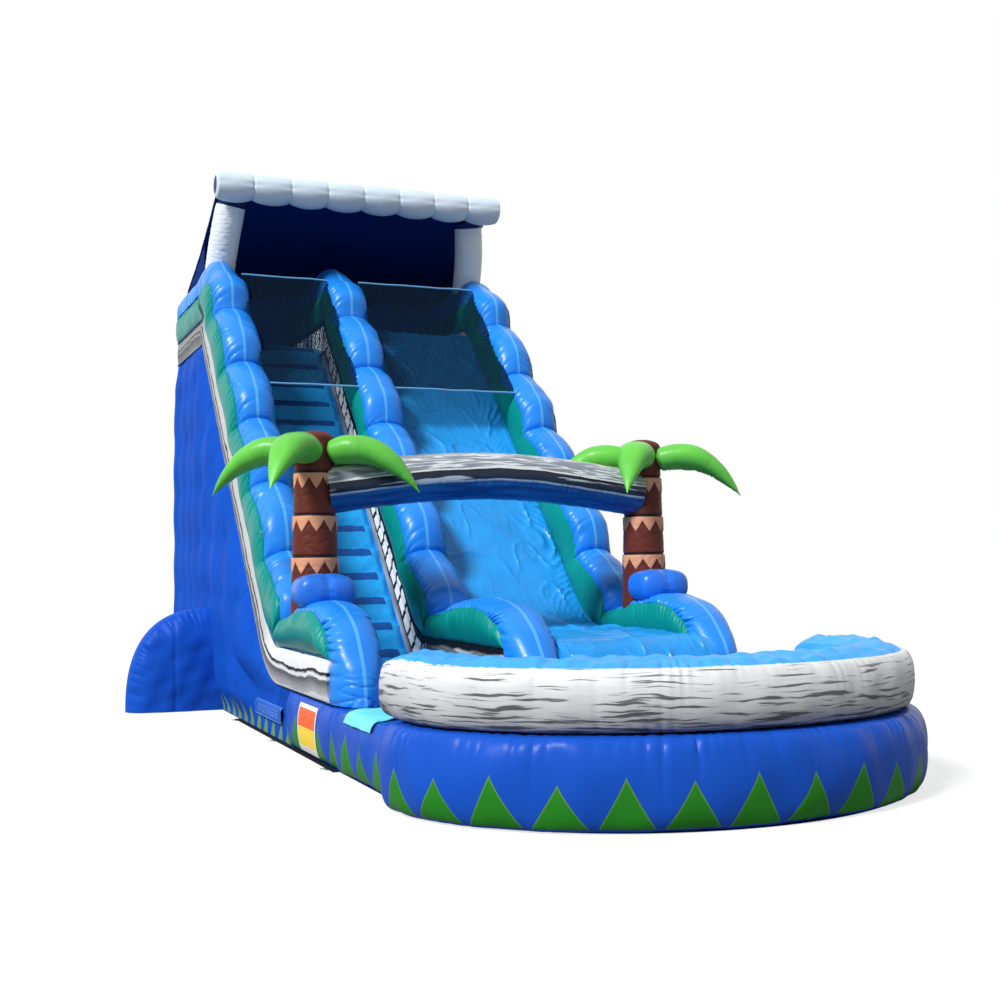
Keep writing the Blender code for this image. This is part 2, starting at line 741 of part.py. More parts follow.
def pool_path(outer_x, outer_y):
    """Inner and outer plan points round the front of the pool, from the right to the left."""
    path = []
    for i in range(ROUND_STEPS + 1):
        turn = math.pi * i / ROUND_STEPS
        c = math.cos(turn)
        s = math.sin(turn)
        path.append(((POOL_INNER_X * c, POOL_CENTRE - POOL_INNER_Y * s),
                     (outer_x * c, POOL_CENTRE - outer_y * s)))
    return path


def station(inner, outer, low, high, bulge):
    """A tube section stood up on one line of the plan."""
    start = Vector(inner)
    reach = Vector(outer) - start
    out = reach.normalized()
    section = tube_section(reach.length, low, high, bulge)
    return [(start.x + out.x * d, start.y + out.y * d, z) for d, z in section]


def make_pool():
    """The lower tube round the landing and pool, the printed ring on it, and the pool floor."""
    rings = []
    for sign in (1, -1):
        legs = [station((sign * (RAIL_INNER + GAP), y), (sign * HALF_WIDTH, y), FLOOR, FOOT_TOP,
                        SIDE_BULGE) for y in (WALL_FRONT - GAP, POOL_BEND_START)]
        if sign < 0:
            legs.reverse()
            rings += [station(a, b, FLOOR, BASE_HEIGHT, BASE_BULGE)
                      for a, b in pool_path(BASE_OUTER_X, BASE_OUTER_Y)]
        rings += legs
    loft("pool_base_tube", rings, "royal", True)

    path = pool_path(RING_OUTER_X, RING_OUTER_Y)
    low = BASE_HEIGHT + GAP
    ends = {}
    for sign, (inner, outer) in ((1, path[0]), (-1, path[-1])):
        rows = []
        for along, size in RING_NOSE_SHARES:
            mid = (inner[0] + outer[0]) / 2
            half = (outer[0] - inner[0]) / 2 * size
            y = POOL_CENTRE + RING_NOSE * along
            top = low + (RING_TOP - low) * (0.5 + size / 2)
            rows.append(ring_station((mid - half, y), (mid + half, y), low, top))
        ends[sign] = rows
    body = [ring_station(a, b, low, RING_TOP) for a, b in path]
    loft("pool_ring", ends[1] + body + ends[-1][::-1], "rock", True)

    legs = [(RAIL_INNER + GAP, PAD_FRONT - GAP), (RAIL_INNER + GAP, POOL_BEND_START)]
    inner = legs + [a for a, b in path] + [(-x, y) for x, y in legs[::-1]]
    floor = line_offset(inner, -2 * GAP)
    floor[0] = (floor[0][0], PAD_FRONT - GAP)
    floor[-1] = (floor[-1][0], PAD_FRONT - GAP)
    prism_z("pool_floor", floor, FLOOR, POOL_FLOOR_THICKNESS, "cyan")


def ring_station(inner, outer, low, high):
    """The upper ring's section: as the tube's, with a crown along the middle of its top."""
    ring = station(inner, outer, low, high - RING_CROWN, RING_BULGE)
    start, end = Vector(ring[-1]), Vector(ring[-2])
    middle = (start + end) / 2 + Vector((0, 0, RING_CROWN))
    quarter = [tuple((start + middle) / 2 + Vector((0, 0, RING_CROWN / 4))),
               tuple(middle), tuple((end + middle) / 2 + Vector((0, 0, RING_CROWN / 4)))]
    return ring[:-1] + quarter[::-1] + ring[-1:]


def make_side_skins():
    """The plain patch and the entry mat, which follow the lower tube's left side."""
    section = [(-RAIL_INNER - d, z)
               for d, z in tube_section(RAIL_WIDTH, FLOOR, FOOT_TOP, SIDE_BULGE)[1:-1]]
    near = line_offset(section, GAP)
    far = line_offset(section, GAP + PATCH_THICKNESS)
    outline = near[1:-1] + far[1:-1][::-1]
    prism_y("plain_patch", outline, PATCH_FRONT, PATCH_BACK, "patch")
    inside = -RAIL_INNER + GAP
    line = section[-3:] + [(inside, FOOT_TOP), (inside, FOOT_TOP - MAT_DROP)]
    near = line_offset(line, GAP)
    far = line_offset(line, GAP + MAT_THICKNESS)
    prism_y("entry_mat", near + far[::-1], MAT_FRONT, MAT_BACK, "cyan")


def tube(name, centres, radii, sides, slot, flat=1.0):
    """A round tube through centres, each ring square to the path, closed at both ends."""
    rings = []
    for i, centre in enumerate(centres):
        here = Vector(centre)
        ahead = Vector(centres[min(i + 1, len(centres) - 1)])
        behind = Vector(centres[max(i - 1, 0)])
        along = (ahead - behind).normalized()
        side = along.cross(Vector((0, 0, 1)))
        if side.length < CUT_OVERRUN:
            side = Vector((1, 0, 0))
        side.normalize()
        up = side.cross(along)
        ring = []
        for k in range(sides):
            turn = 2 * math.pi * k / sides
            ring.append(here + side * (radii[i] * math.cos(turn))
                        + up * (radii[i] * flat * math.sin(turn)))
        rings.append(ring)
    return loft(name, rings, slot, True)


def make_bolster():
    """The front bolster: a tube across the slide with a neck between each two swellings."""
    centres = []
    radii = []
    steps = BOLSTER_LOBES * 4
    for i in range(steps + 1):
        share = i / steps
        centres.append((BOLSTER_HALF_LENGTH * (2 * share - 1), BOLSTER_Y, BOLSTER_HEIGHT))
        swell = abs(math.sin(math.pi * BOLSTER_LOBES * share))
        end = 1 if 0 < i < steps else BOLSTER_NECK_SHARE
        radius = BOLSTER_NECK_SHARE + (1 - BOLSTER_NECK_SHARE) * swell
        radii.append(BOLSTER_RADIUS * radius * end)
    tube("canopy_bolster", centres, radii, TRUNK_SIDES, "white")


def roof_line():
    """The roof's upper face in (y, z), from the bolster's back to the top of the back wall."""
    front = Vector((BOLSTER_Y + BOLSTER_RADIUS + GAP, BOLSTER_HEIGHT + ROOF_THICKNESS / 2))
    rear = Vector((ROOF_BACK, CREST_TOP + GAP + ROOF_THICKNESS))
    line = []
    for i in range(ROOF_STEPS + 1):
        share = i / ROOF_STEPS
        point = front.lerp(rear, share)
        point.y -= ROOF_SAG * math.sin(math.pi * share)
        line.append(tuple(point))
    return line


def make_canopy():
    """Bolster, roof, posts and the nets that close the canopy's sides."""
    make_bolster()
    top = roof_line()
    under = line_offset(top, -ROOF_THICKNESS)
    under[0] = (top[0][0], under[0][1])
    under[-1] = (ROOF_BACK, CREST_TOP + GAP)
    prism_x("canopy_roof", top + under[::-1], -ROOF_HALF_WIDTH, ROOF_HALF_WIDTH, "navy")
    above = [(y, z + HALF_WIDTH) for y, z in top]
    below = line_offset(under, -GAP)
    below[0] = (BOLSTER_Y - BOLSTER_RADIUS * 2, below[0][1])
    above[0] = (BOLSTER_Y - BOLSTER_RADIUS * 2, above[0][1])
    for side, sign in SIDES.items():
        foot = Vector((sign * (RAIL_CENTRE - POST_FOOT_INSET), POST_FOOT_Y,
                       CREST_TOP - POST_RADIUS / 2))
        head = Vector((sign * (RAIL_CENTRE - POST_TOP_INSET), POST_TOP_Y,
                       BOLSTER_HEIGHT + POST_RADIUS / 2))
        centres = [foot.lerp(head, k / POST_STEPS) for k in range(POST_STEPS + 1)]
        post = tube("canopy_post_" + side, centres, [POST_RADIUS] * len(centres), TRUNK_SIDES,
                    "white")
        cap_space = rail_space("post_seat_" + side, sign, POST_FOOT_Y)
        roof_space = prism_x("post_roof_" + side, above + below[::-1], -HALF_WIDTH,
                             HALF_WIDTH, None)
        cut(post, cap_space, roof_space)
        crest = CREST_TOP + GAP
        start = POST_FOOT_Y + DOME_LENGTH
        roof_under = [(y, z) for y, z in below[1:-1] if y > start]
        outline = [(start, crest + DOME_RISE), (start, roof_height(below, start))] + roof_under
        outline += [(ROOF_BACK - ROOF_THICKNESS, crest), (POST_FOOT_Y + 2 * DOME_LENGTH, crest)]
        x = sign * RAIL_CENTRE
        prism_x("canopy_net_" + side, outline, x, x + CANOPY_NET_THICKNESS, "net")


def roof_height(line, y):
    """The height of a (y, z) line at a place along Y."""
    for (y0, z0), (y1, z1) in zip(line, line[1:]):
        if y0 <= y <= y1:
            return z0 + (z1 - z0) * (y - y0) / (y1 - y0)
    return line[-1][1]


def trunk_profile(grow=0.0):
    """(radius, height) of a palm trunk, with a small step under each collar and a crown."""
    def radius_at(height):
        share = (TRUNK_TOP - height) / (TRUNK_TOP - TRUNK_BOTTOM)
        return TRUNK_TOP_RADIUS + (TRUNK_FOOT_RADIUS - TRUNK_TOP_RADIUS) * share + grow

    profile = [(radius_at(TRUNK_BOTTOM), TRUNK_BOTTOM)]
    for height in COLLAR_HEIGHTS:
        profile.append((radius_at(height) + COLLAR_STEP, height))
        profile.append((radius_at(height), height + COLLAR_STEP))
    profile.append((radius_at(TRUNK_TOP) + CROWN_OVERHANG, TRUNK_TOP))
    profile.append((radius_at(TRUNK_TOP) * CROWN_TOP_SHARE, TRUNK_TOP + CROWN_RISE))
    return profile


def make_palms():
    """Trunks on the rails' saddles, with their fronds, and the arch tube between them."""
    spaces = {}
    for side, sign in SIDES.items():
        centre = (sign * RAIL_CENTRE, PALM_Y, 0)
        trunk = turned("palm_trunk_" + side, trunk_profile(), centre, (0, 0, 1), TRUNK_SIDES,
                       "bark")
        cap_space = rail_space("trunk_seat_" + side, sign, PALM_Y)
        cut(trunk, cap_space)
        spaces[side] = turned("trunk_space_" + side, trunk_profile(GAP), centre, (0, 0, 1),
                              TRUNK_SIDES, None)
        for place, azimuth in FROND_AZIMUTHS.items():
            angle = math.radians(azimuth)
            out = Vector((math.cos(angle), math.sin(angle), 0))
            root = Vector(centre) + Vector((0, 0, FROND_ROOT_HEIGHT))
            centres = []
            radii = []
            for i in range(FROND_STATIONS):
                share = i / (FROND_STATIONS - 1)
                rise = (FROND_RISE * math.sin(math.pi * share * FROND_ARC_SHARE)
                        - FROND_DROP * share ** FROND_DROOP_POWER)
                start = TRUNK_TOP_RADIUS * FROND_START_SHARE
                centres.append(root + out * (start + (FROND_REACH - start) * share)
                               + Vector((0, 0, rise)))
                radii.append(FROND_ROOT_RADIUS * FROND_GIRTH_SHARES[i])
            frond = tube(f"palm_frond_{side}_{place}", centres, radii, FROND_SIDES, "leaf",
                         FROND_FLAT_SHARE)
            cut(frond, spaces[side])
    centres = []
    for i in range(ARCH_STATIONS + 1):
        share = i / ARCH_STATIONS
        centres.append((RAIL_CENTRE * (2 * share - 1), PALM_Y,
                        ARCH_HEIGHT + ARCH_RISE * math.sin(math.pi * share)))
    arch = tube("arch_tube", centres, [ARCH_RADIUS] * len(centres), ARCH_SIDES, "rock")
    cut(arch, spaces["left"], spaces["right"])


def make_pillows():
    """The soft blue pillow on the hump in front of each palm's foot."""
    for side, sign in SIDES.items():
        centre = (sign * RAIL_CENTRE, PALM_Y - PILLOW_FORWARD, PILLOW_HEIGHT_AT)
        pillow = cushion("foot_pillow_" + side, centre,
                         (PILLOW_WIDTH, PILLOW_DEPTH, PILLOW_HEIGHT), "royal")
        cap_space = rail_space("pillow_seat_" + side, sign, PALM_Y - PILLOW_FORWARD)
        trunk_space = turned("pillow_trunk_" + side, trunk_profile(GAP),
                             (sign * RAIL_CENTRE, PALM_Y, 0), (0, 0, 1), TRUNK_SIDES, None)
        cut(pillow, cap_space, trunk_space)


def cushion(name, centre, size, slot):
    """A crowned pillow whose sides pull in between its corners."""
    half = [length / 2 for length in size]
    count = PILLOW_STEPS * 4
    rings = []
    for level, spread in PILLOW_LAYER_SHARES:
        ring = []
        for k in range(count):
            turn = 2 * math.pi * k / count
            c = math.cos(turn)
            s = math.sin(turn)
            pull = 1 - PILLOW_PULL_SHARE * math.cos(2 * turn) ** 2
            out = spread * pull / max(abs(c), abs(s)) ** PILLOW_CORNER_POWER
            ring.append((centre[0] + half[0] * out * c, centre[1] + half[1] * out * s,
                         centre[2] + half[2] * level))
        rings.append(ring)
    return loft(name, rings, slot, True)


def make_buttresses():
    """The quarter-round wings that prop the tower on both sides."""
    for side, sign in SIDES.items():
        start = sign * (HALF_WIDTH + GAP)
        rings = []
        depth = BUTTRESS_THICKNESS / 2
        middle = BUTTRESS_FRONT + depth
        for along, inset in BUTTRESS_LAYER_SHARES:
            reach = BUTTRESS_REACH - BUTTRESS_ROUND * inset
            tall = BUTTRESS_HEIGHT - BUTTRESS_ROUND * inset
            ring = [(start, middle + depth * along, 0.0)]
            for k in range(BUTTRESS_STEPS + 1):
                turn = math.pi / 2 * k / BUTTRESS_STEPS
                out = reach * math.cos(turn) ** BUTTRESS_REACH_POWER
                up = tall * math.sin(turn) ** BUTTRESS_RISE_POWER
                ring.append((start + sign * out, middle + depth * along, up))
            rings.append(ring)
        loft("buttress_" + side, rings, "royal", True)


def make_zip():
    """The deflation zip on the left wall: tape with teeth, slider and the flap over them."""
    face = -HALF_WIDTH - GAP
    front = ZIP_BACK - ZIP_LENGTH
    half = ZIP_TAPE_WIDTH / 2
    teeth = ZIP_TEETH_WIDTH / 2
    tape = face - ZIP_TAPE_THICKNESS
    ridge = tape - ZIP_TEETH_RISE
    outline = [(face, ZIP_HEIGHT - half), (face, ZIP_HEIGHT + half), (tape, ZIP_HEIGHT + half),
               (tape, ZIP_HEIGHT + teeth), (ridge, ZIP_HEIGHT + teeth),
               (ridge, ZIP_HEIGHT - teeth), (tape, ZIP_HEIGHT - teeth), (tape, ZIP_HEIGHT - half)]
    prism_y("zip_tape", outline, front, ZIP_BACK, "plastic")
    wide = SLIDER_WIDTH / 2
    low = teeth + GAP
    back = tape - GAP
    over = ridge - GAP
    skin = face - SLIDER_RISE - ZIP_TAPE_THICKNESS
    outline = [(back, ZIP_HEIGHT - wide), (back, ZIP_HEIGHT - low), (over, ZIP_HEIGHT - low),
               (over, ZIP_HEIGHT + low), (back, ZIP_HEIGHT + low), (back, ZIP_HEIGHT + wide),
               (skin, ZIP_HEIGHT + wide * SLIDER_FACE_SHARE),
               (skin, ZIP_HEIGHT - wide * SLIDER_FACE_SHARE)]
    end = ZIP_BACK - FLAP_MARGIN
    prism_y("zip_slider", outline, end - SLIDER_LENGTH, end, "steel")
    out = face - FLAP_STANDOFF
    inner = out + FLAP_THICKNESS
    outline = [(face, FLAP_TOP), (face, FLAP_TOP - FLAP_HEM), (inner, FLAP_TOP - 2 * FLAP_HEM),
               (inner, FLAP_FOOT), (out, FLAP_FOOT), (out, FLAP_TOP - FLAP_HEM),
               (face - FLAP_HEM, FLAP_TOP)]
    flap = prism_y("zip_flap", outline, front - FLAP_MARGIN, ZIP_BACK + FLAP_MARGIN, "cyan")
    set_origin(flap, (face - FLAP_HEM / 2, front, FLAP_TOP))


def set_origin(piece, point):
    """Move an object's origin to a point without moving the object."""
    shift = Vector(point) - piece.location
    piece.data.transform(Matrix.Translation(-shift))
    piece.location = Vector(point)


def make_back_fittings():
    """The blower sleeve, and the water inlet with its stop valve, on the back wall."""
    back = TOWER_BACK + GAP
    height = SLEEVE_RADIUS + SLEEVE_FLARE + SLEEVE_CLEAR
    inner = SLEEVE_RADIUS - SLEEVE_WALL
    profile = [(SLEEVE_RADIUS + SLEEVE_FLARE, 0), (SLEEVE_RADIUS + SLEEVE_FLARE, SLEEVE_WALL),
               (SLEEVE_RADIUS, SLEEVE_COLLAR), (SLEEVE_RADIUS, SLEEVE_LENGTH - SLEEVE_COLLAR),
               (SLEEVE_RADIUS + SLEEVE_FLARE, SLEEVE_LENGTH)]
    sleeve = turned("blower_sleeve", profile, (SLEEVE_X, back, height), (0, 1, 0), SLEEVE_SIDES,
                    "royal")
    bore = turned("sleeve_bore", [(inner, -CUT_OVERRUN), (inner, SLEEVE_LENGTH + CUT_OVERRUN)],
                  (SLEEVE_X, back, height), (0, 1, 0), SLEEVE_SIDES, None)
    cut(sleeve, bore)

    half = INLET_PLATE / 2
    plate = INLET_PLATE_THICKNESS
    inlet = box("water_inlet", (INLET_X - half, back, INLET_HEIGHT - half),
                (INLET_X + half, back + plate, INLET_HEIGHT + half), "plastic")
    barrel = turned("inlet_barrel", [(INLET_RADIUS, plate / 2), (INLET_RADIUS, INLET_LENGTH),
                                     (INLET_THREAD_RADIUS, INLET_LENGTH),
                                     (INLET_THREAD_RADIUS, INLET_LENGTH + INLET_THREAD_LENGTH)],
                    (INLET_X, back, INLET_HEIGHT), (0, 1, 0), PIN_SIDES, None)
    stem_y = back + plate + INLET_STEM_AT
    top = INLET_HEIGHT + INLET_RADIUS + STEM_RISE
    stem = turned("inlet_stem", [(STEM_BOSS_RADIUS, INLET_HEIGHT), (STEM_BOSS_RADIUS, top)],
                  (INLET_X, stem_y, 0), (0, 0, 1), PIN_SIDES, None)
    pin = turned("inlet_pin", [(STEM_RADIUS, top - STEM_RISE),
                               (STEM_RADIUS, top + LEVER_THICKNESS + GAP)],
                 (INLET_X, stem_y, 0), (0, 0, 1), PIN_SIDES, None)
    bore = turned("inlet_bore", [(INLET_BORE, plate * 2),
                                 (INLET_BORE, INLET_LENGTH + INLET_THREAD_LENGTH + CUT_OVERRUN)],
                  (INLET_X, back, INLET_HEIGHT), (0, 1, 0), PIN_SIDES, None)
    for shape in (barrel, stem, pin):
        apply_shape(inlet, shape, "UNION")
    cut(inlet, bore)
    wide = LEVER_WIDTH / 2
    start = top + GAP
    lever = box("water_valve_lever", (INLET_X - wide, stem_y - wide, start),
                (INLET_X + wide, stem_y + LEVER_LENGTH, start + LEVER_THICKNESS), "steel")
    hole = turned("lever_hole", [(STEM_RADIUS + GAP, start - CUT_OVERRUN),
                                 (STEM_RADIUS + GAP, start + CUT_OVERRUN)],
                  (INLET_X, stem_y, 0), (0, 0, 1), PIN_SIDES, None)
    set_origin(lever, (INLET_X, stem_y, start))
    cut(lever, hole)


def make_anchors():
    """The tape along each side's foot, with a loop and a swinging ring at each anchor."""
    hole = RING_WIRE + RING_CLEAR
    middle = LOOP_WALL + hole
    half = LOOP_LENGTH / 2
    for side, sign in SIDES.items():
        start = sign * (HALF_WIDTH + GAP)
        edge = start + sign * BAND_WIDTH
        axis = edge + sign * LOOP_DEPTH / 2
        low_y = ANCHOR_SPOTS[-1] - BAND_END
        high_y = ANCHOR_SPOTS[0] + BAND_END
        xs = sorted((start, edge))
        band = box("anchor_tape_" + side, (xs[0], low_y, 0), (xs[1], high_y, BAND_THICKNESS),
                   "webbing")
        xs = sorted((edge - sign * BAND_THICKNESS, edge + sign * LOOP_DEPTH))
        for number, y in enumerate(ANCHOR_SPOTS, 1):
            loop = box(f"anchor_loop_{side}_{number}", (xs[0], y - half, 0),
                       (xs[1], y + half, 2 * middle), None)
            apply_shape(band, loop, "UNION")
        for number, y in enumerate(ANCHOR_SPOTS, 1):
            slot = box(f"anchor_slot_{side}_{number}",
                       (axis - hole, y - half - CUT_OVERRUN, middle - hole),
                       (axis + hole, y + half + CUT_OVERRUN, middle + hole), None)
            cut(band, slot)
            anchor_ring(f"anchor_ring_{side}_{number}", (axis, y, middle), sign)


def anchor_ring(name, centre, sign):
    """A D-shaped ring: a straight bar through the loop, and a bow that reaches outwards."""
    path = [(0, -RING_HALF), (0, 0), (0, RING_HALF)]
    bow_x = RING_REACH - RING_HALF
    for k in range(RING_BOW_STEPS + 1):
        turn = math.pi / 2 - math.pi * k / RING_BOW_STEPS
        path.append((bow_x + RING_HALF * math.cos(turn), RING_HALF * math.sin(turn)))
    points = []
    count = len(path)
    for i, (x, y) in enumerate(path):
        here = Vector((x, y))
        along = (Vector(path[(i + 1) % count]) - Vector(path[i - 1])).normalized()
        ahead = (Vector(path[(i + 1) % count]) - here).normalized()
        side = Vector((along.y, -along.x))
        stretch = 1 / max(along.dot(ahead), SLOPE_COS)
        for k in range(RING_WIRE_SIDES):
            turn = 2 * math.pi * k / RING_WIRE_SIDES
            flat = here + side * (RING_WIRE * math.cos(turn) * stretch)
            points.append((centre[0] + sign * flat.x, centre[1] + flat.y,
                           centre[2] + RING_WIRE * math.sin(turn)))
    faces = []
    for i in range(count):
        for k in range(RING_WIRE_SIDES):
            n = (k + 1) % RING_WIRE_SIDES
            a = i * RING_WIRE_SIDES
            b = (i + 1) % count * RING_WIRE_SIDES
            faces.append((a + k, a + n, b + n, b + k))
    add_piece(name, points, faces, "steel", True, centre)


def main():
    """Build the slide."""
    make_ground_sheet()
    make_side_walls()
    make_rails()
    make_stairs()
    make_slide()
    make_platform()
    make_lane_nets()
    make_pool()
    make_side_skins()
    make_canopy()
    make_palms()
    make_pillows()
    make_buttresses()
    make_zip()
    make_back_fittings()
    make_anchors()


main()
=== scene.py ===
# %% [markdown]
# An inflatable water slide, dressed in fabric.
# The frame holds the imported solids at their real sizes. This script makes the skin that blown-up
# fabric has: swellings between seams, short puckers across each seam, prints, nets and cords.
# Every shape is worked out as whole numpy arrays, so a reader can change one number and see the
# whole slide follow.

# %% Load the frame
import json
import math

import bmesh
import bpy
import numpy as np
from mathutils import Matrix, Vector

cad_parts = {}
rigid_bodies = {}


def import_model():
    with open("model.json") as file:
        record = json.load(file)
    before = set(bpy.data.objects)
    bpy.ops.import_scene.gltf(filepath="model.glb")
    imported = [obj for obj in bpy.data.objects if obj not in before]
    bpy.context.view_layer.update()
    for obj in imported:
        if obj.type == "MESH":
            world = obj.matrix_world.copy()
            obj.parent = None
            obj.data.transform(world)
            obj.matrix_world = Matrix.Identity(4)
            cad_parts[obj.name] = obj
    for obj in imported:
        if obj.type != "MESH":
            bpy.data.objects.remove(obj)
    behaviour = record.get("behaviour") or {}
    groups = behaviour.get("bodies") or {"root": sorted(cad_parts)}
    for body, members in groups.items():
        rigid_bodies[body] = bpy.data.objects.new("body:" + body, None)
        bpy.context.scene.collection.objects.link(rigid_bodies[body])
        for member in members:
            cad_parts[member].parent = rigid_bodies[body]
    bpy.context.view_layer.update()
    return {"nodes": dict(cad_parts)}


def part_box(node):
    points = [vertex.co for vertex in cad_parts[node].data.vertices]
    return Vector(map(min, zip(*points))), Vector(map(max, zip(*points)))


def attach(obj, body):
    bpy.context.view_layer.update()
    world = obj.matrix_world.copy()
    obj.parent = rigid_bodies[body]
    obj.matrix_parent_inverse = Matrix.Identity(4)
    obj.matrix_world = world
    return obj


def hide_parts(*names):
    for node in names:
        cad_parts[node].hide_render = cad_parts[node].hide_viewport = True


for item in list(bpy.data.objects):
    bpy.data.objects.remove(item, do_unlink=True)
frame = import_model()

# %% [markdown]
# The camera stands where a person stood to take the picture: at eye height, in front of the pool
# and to its left. Its turn is built from three angles, because a direction and a roll are easier
# to read than a matrix.

# %% Camera
EYE = Vector((-4.5146, -12.521, 1.6))
YAW = math.radians(22.3445)
PITCH = math.radians(2.549)
ROLL = math.radians(-0.5765)
LENS_MM = 47.99
SENSOR_MM = 36.0

ahead = Vector((math.sin(YAW) * math.cos(PITCH), math.cos(YAW) * math.cos(PITCH),
                math.sin(PITCH)))
level_right = Vector((math.cos(YAW), -math.sin(YAW), 0))
level_up = level_right.cross(ahead)
right = level_right * math.cos(ROLL) + level_up * math.sin(ROLL)
up = right.cross(ahead)
turn = Matrix((right, up, -ahead)).transposed()
lens = bpy.data.cameras.new("camera")
lens.lens = LENS_MM
lens.sensor_width = SENSOR_MM
camera = bpy.data.objects.new("camera", lens)
camera.matrix_world = Matrix.Translation(EYE) @ turn.to_4x4()
bpy.context.scene.collection.objects.link(camera)
bpy.context.scene.camera = camera
bpy.context.scene.view_settings.view_transform = "Standard"
print("camera at", [round(value, 2) for value in EYE])

# %% [markdown]
# A material is a graph of nodes. Placed one by one, the nodes of a print would fill a page, so an
# output is wrapped in a class here: its plus, minus, times and so on each add one Math node. A
# print then reads like the formula that it draws.

# %% Node helpers
def add_node(tree, kind, inputs=None, **options):
    """A shader node with options set by name; a socket takes a value or another node's output."""
    made = tree.nodes.new("ShaderNode" + kind)
    for key, value in options.items():
        setattr(made, key, value)
    for key, value in (inputs or {}).items():
        value = getattr(value, "socket", value)
        if isinstance(value, bpy.types.NodeSocket):
            tree.links.new(value, made.inputs[key])
        else:
            made.inputs[key].default_value = value
    return made


class Number:
    """A node's output as a number: each operation on it adds one Math node."""

    def __init__(self, tree, socket):
        self.tree, self.socket = tree, socket

    def step(self, operation, *values, clamp=False):
        made = add_node(self.tree, "Math", dict(enumerate([self, *values])),
                        operation=operation, use_clamp=clamp)
        return Number(self.tree, made.outputs[0])

    def __add__(self, other):
        return self.step("ADD", other)

    def __sub__(self, other):
        return self.step("SUBTRACT", other)

    def __rsub__(self, other):
        return self.step("MULTIPLY_ADD", -1.0, other)

    def __mul__(self, other):
        return self.step("MULTIPLY", other)

    def __truediv__(self, other):
        return self.step("DIVIDE", other)

    def __pow__(self, other):
        return self.step("POWER", other)

    def __abs__(self):
        return self.step("ABSOLUTE")


def between(tree, share, low, high):
    """A colour part of the way from one colour to another."""
    low, high = [c if isinstance(c, bpy.types.NodeSocket) else (*c, 1.0) for c in (low, high)]
    return add_node(tree, "Mix", {0: share, 6: low, 7: high}, data_type="RGBA").outputs[2]


def past(value, edge, blur=0.002):
    """0 below an edge and 1 above it, with a short ramp between."""
    return (value - edge).step("DIVIDE", blur, clamp=True)


def layered(tree, value, base, layers):
    """Colours one after another: each layer starts where the value is past its edge."""
    for edge, blur, colour in layers:
        base = between(tree, past(value, edge, blur), base, colour)
    return base


def noise_at(tree, where, scale, detail=3.0, stretch=(1, 1, 1)):
    """Smooth noise of about 0..1 on a coordinate, longer along an axis with a small stretch."""
    moved = add_node(tree, "Mapping", {"Vector": where, "Scale": stretch})
    made = add_node(tree, "TexNoise", {"Vector": moved.outputs[0], "Scale": scale,
                                       "Detail": detail})
    return Number(tree, made.outputs[0])


# %% [markdown]
# Blown-up slides are sewn from coated fabric: a glossy skin over a woven base. A picture of fabric
# could be wrapped on, but it would blur close by. Here noise gives the skin broad soft
# reflections, a faint grain, and creases finer than the mesh. Each colour is one material, and a
# print is a function that changes the base colour by the piece's UV map, which is in metres.

# %% The coated fabric
FOLD_SCALE = 7.0
GRAIN_SCALE = 220.0
TONE_SCALE = 1.7
GLOSS_RANGE = 0.18
GRAIN_SHARE = 0.02
CREASE_HEIGHT = 0.012


def coated_fabric(name, colour, roughness=0.36, pattern=None, crease=0.5, tone=0.12, shine=0.3):
    """Coated fabric of one colour, or with a print that is worked out from the UV map."""
    material = bpy.data.materials.new(name)
    material.use_nodes = True
    tree = material.node_tree
    shader = tree.nodes["Principled BSDF"]
    shader.inputs["Specular IOR Level"].default_value = shine
    where = add_node(tree, "TexCoord").outputs["Object"]
    darker = tuple(c * (1 - tone) for c in colour)
    lighter = tuple(min(1.0, c * (1 + tone)) for c in colour)
    base = between(tree, noise_at(tree, where, TONE_SCALE), darker, lighter)
    if pattern:
        layout = add_node(tree, "UVMap").outputs[0]
        split = add_node(tree, "SeparateXYZ", {0: layout})
        u, v = [Number(tree, split.outputs[k]) for k in (0, 1)]
        base = pattern(tree, base, u, v, layout)
    tree.links.new(base, shader.inputs["Base Color"])
    folds = noise_at(tree, where, FOLD_SCALE, 5.0)
    grain = noise_at(tree, where, GRAIN_SCALE, 1.0)
    gloss = folds * GLOSS_RANGE + (roughness - GLOSS_RANGE / 2)
    tree.links.new(gloss.socket, shader.inputs["Roughness"])
    bump = add_node(tree, "Bump", {"Height": grain * GRAIN_SHARE + folds, "Strength": crease,
                                   "Distance": CREASE_HEIGHT})
    tree.links.new(bump.outputs[0], shader.inputs["Normal"])
    return material


# %% [markdown]
# The colours are the fabric's own colours, in linear light.

# %% Colours
ROYAL = (0.008, 0.080, 0.50)
CAP_BLUE = (0.012, 0.235, 0.82)
RING_BLUE = (0.05, 0.36, 0.86)
LANE_BLUE = (0.018, 0.36, 0.84)
LINER_BLUE = (0.014, 0.29, 0.74)
PILLOW_BLUE = (0.012, 0.16, 0.70)
STRIPE_BLUE = (0.085, 0.40, 0.86)
STEP_BLUE = (0.006, 0.075, 0.33)
LINE_BLUE = (0.05, 0.22, 0.66)
CYAN = (0.10, 0.60, 0.84)
MAT_CYAN = (0.17, 0.74, 0.93)
TEAL = (0.002, 0.25, 0.22)
NAVY = (0.001, 0.020, 0.14)
WHITE = (0.80, 0.88, 0.95)
BOLSTER_WHITE = (0.66, 0.77, 0.88)
LIME = (0.12, 0.52, 0.06)
BARK = (0.115, 0.022, 0.014)
TAN = (0.70, 0.33, 0.19)
ORANGE = (0.93, 0.13, 0.025)
YELLOW = (0.95, 0.68, 0.05)
GREEN = (0.020, 0.22, 0.016)
EDGE_GREEN = (0.11, 0.27, 0.03)
YELLOW_GREEN = (0.19, 0.34, 0.035)
GREY = (0.34, 0.36, 0.37)
INK = (0.006, 0.007, 0.010)
PALE = (0.76, 0.78, 0.79)
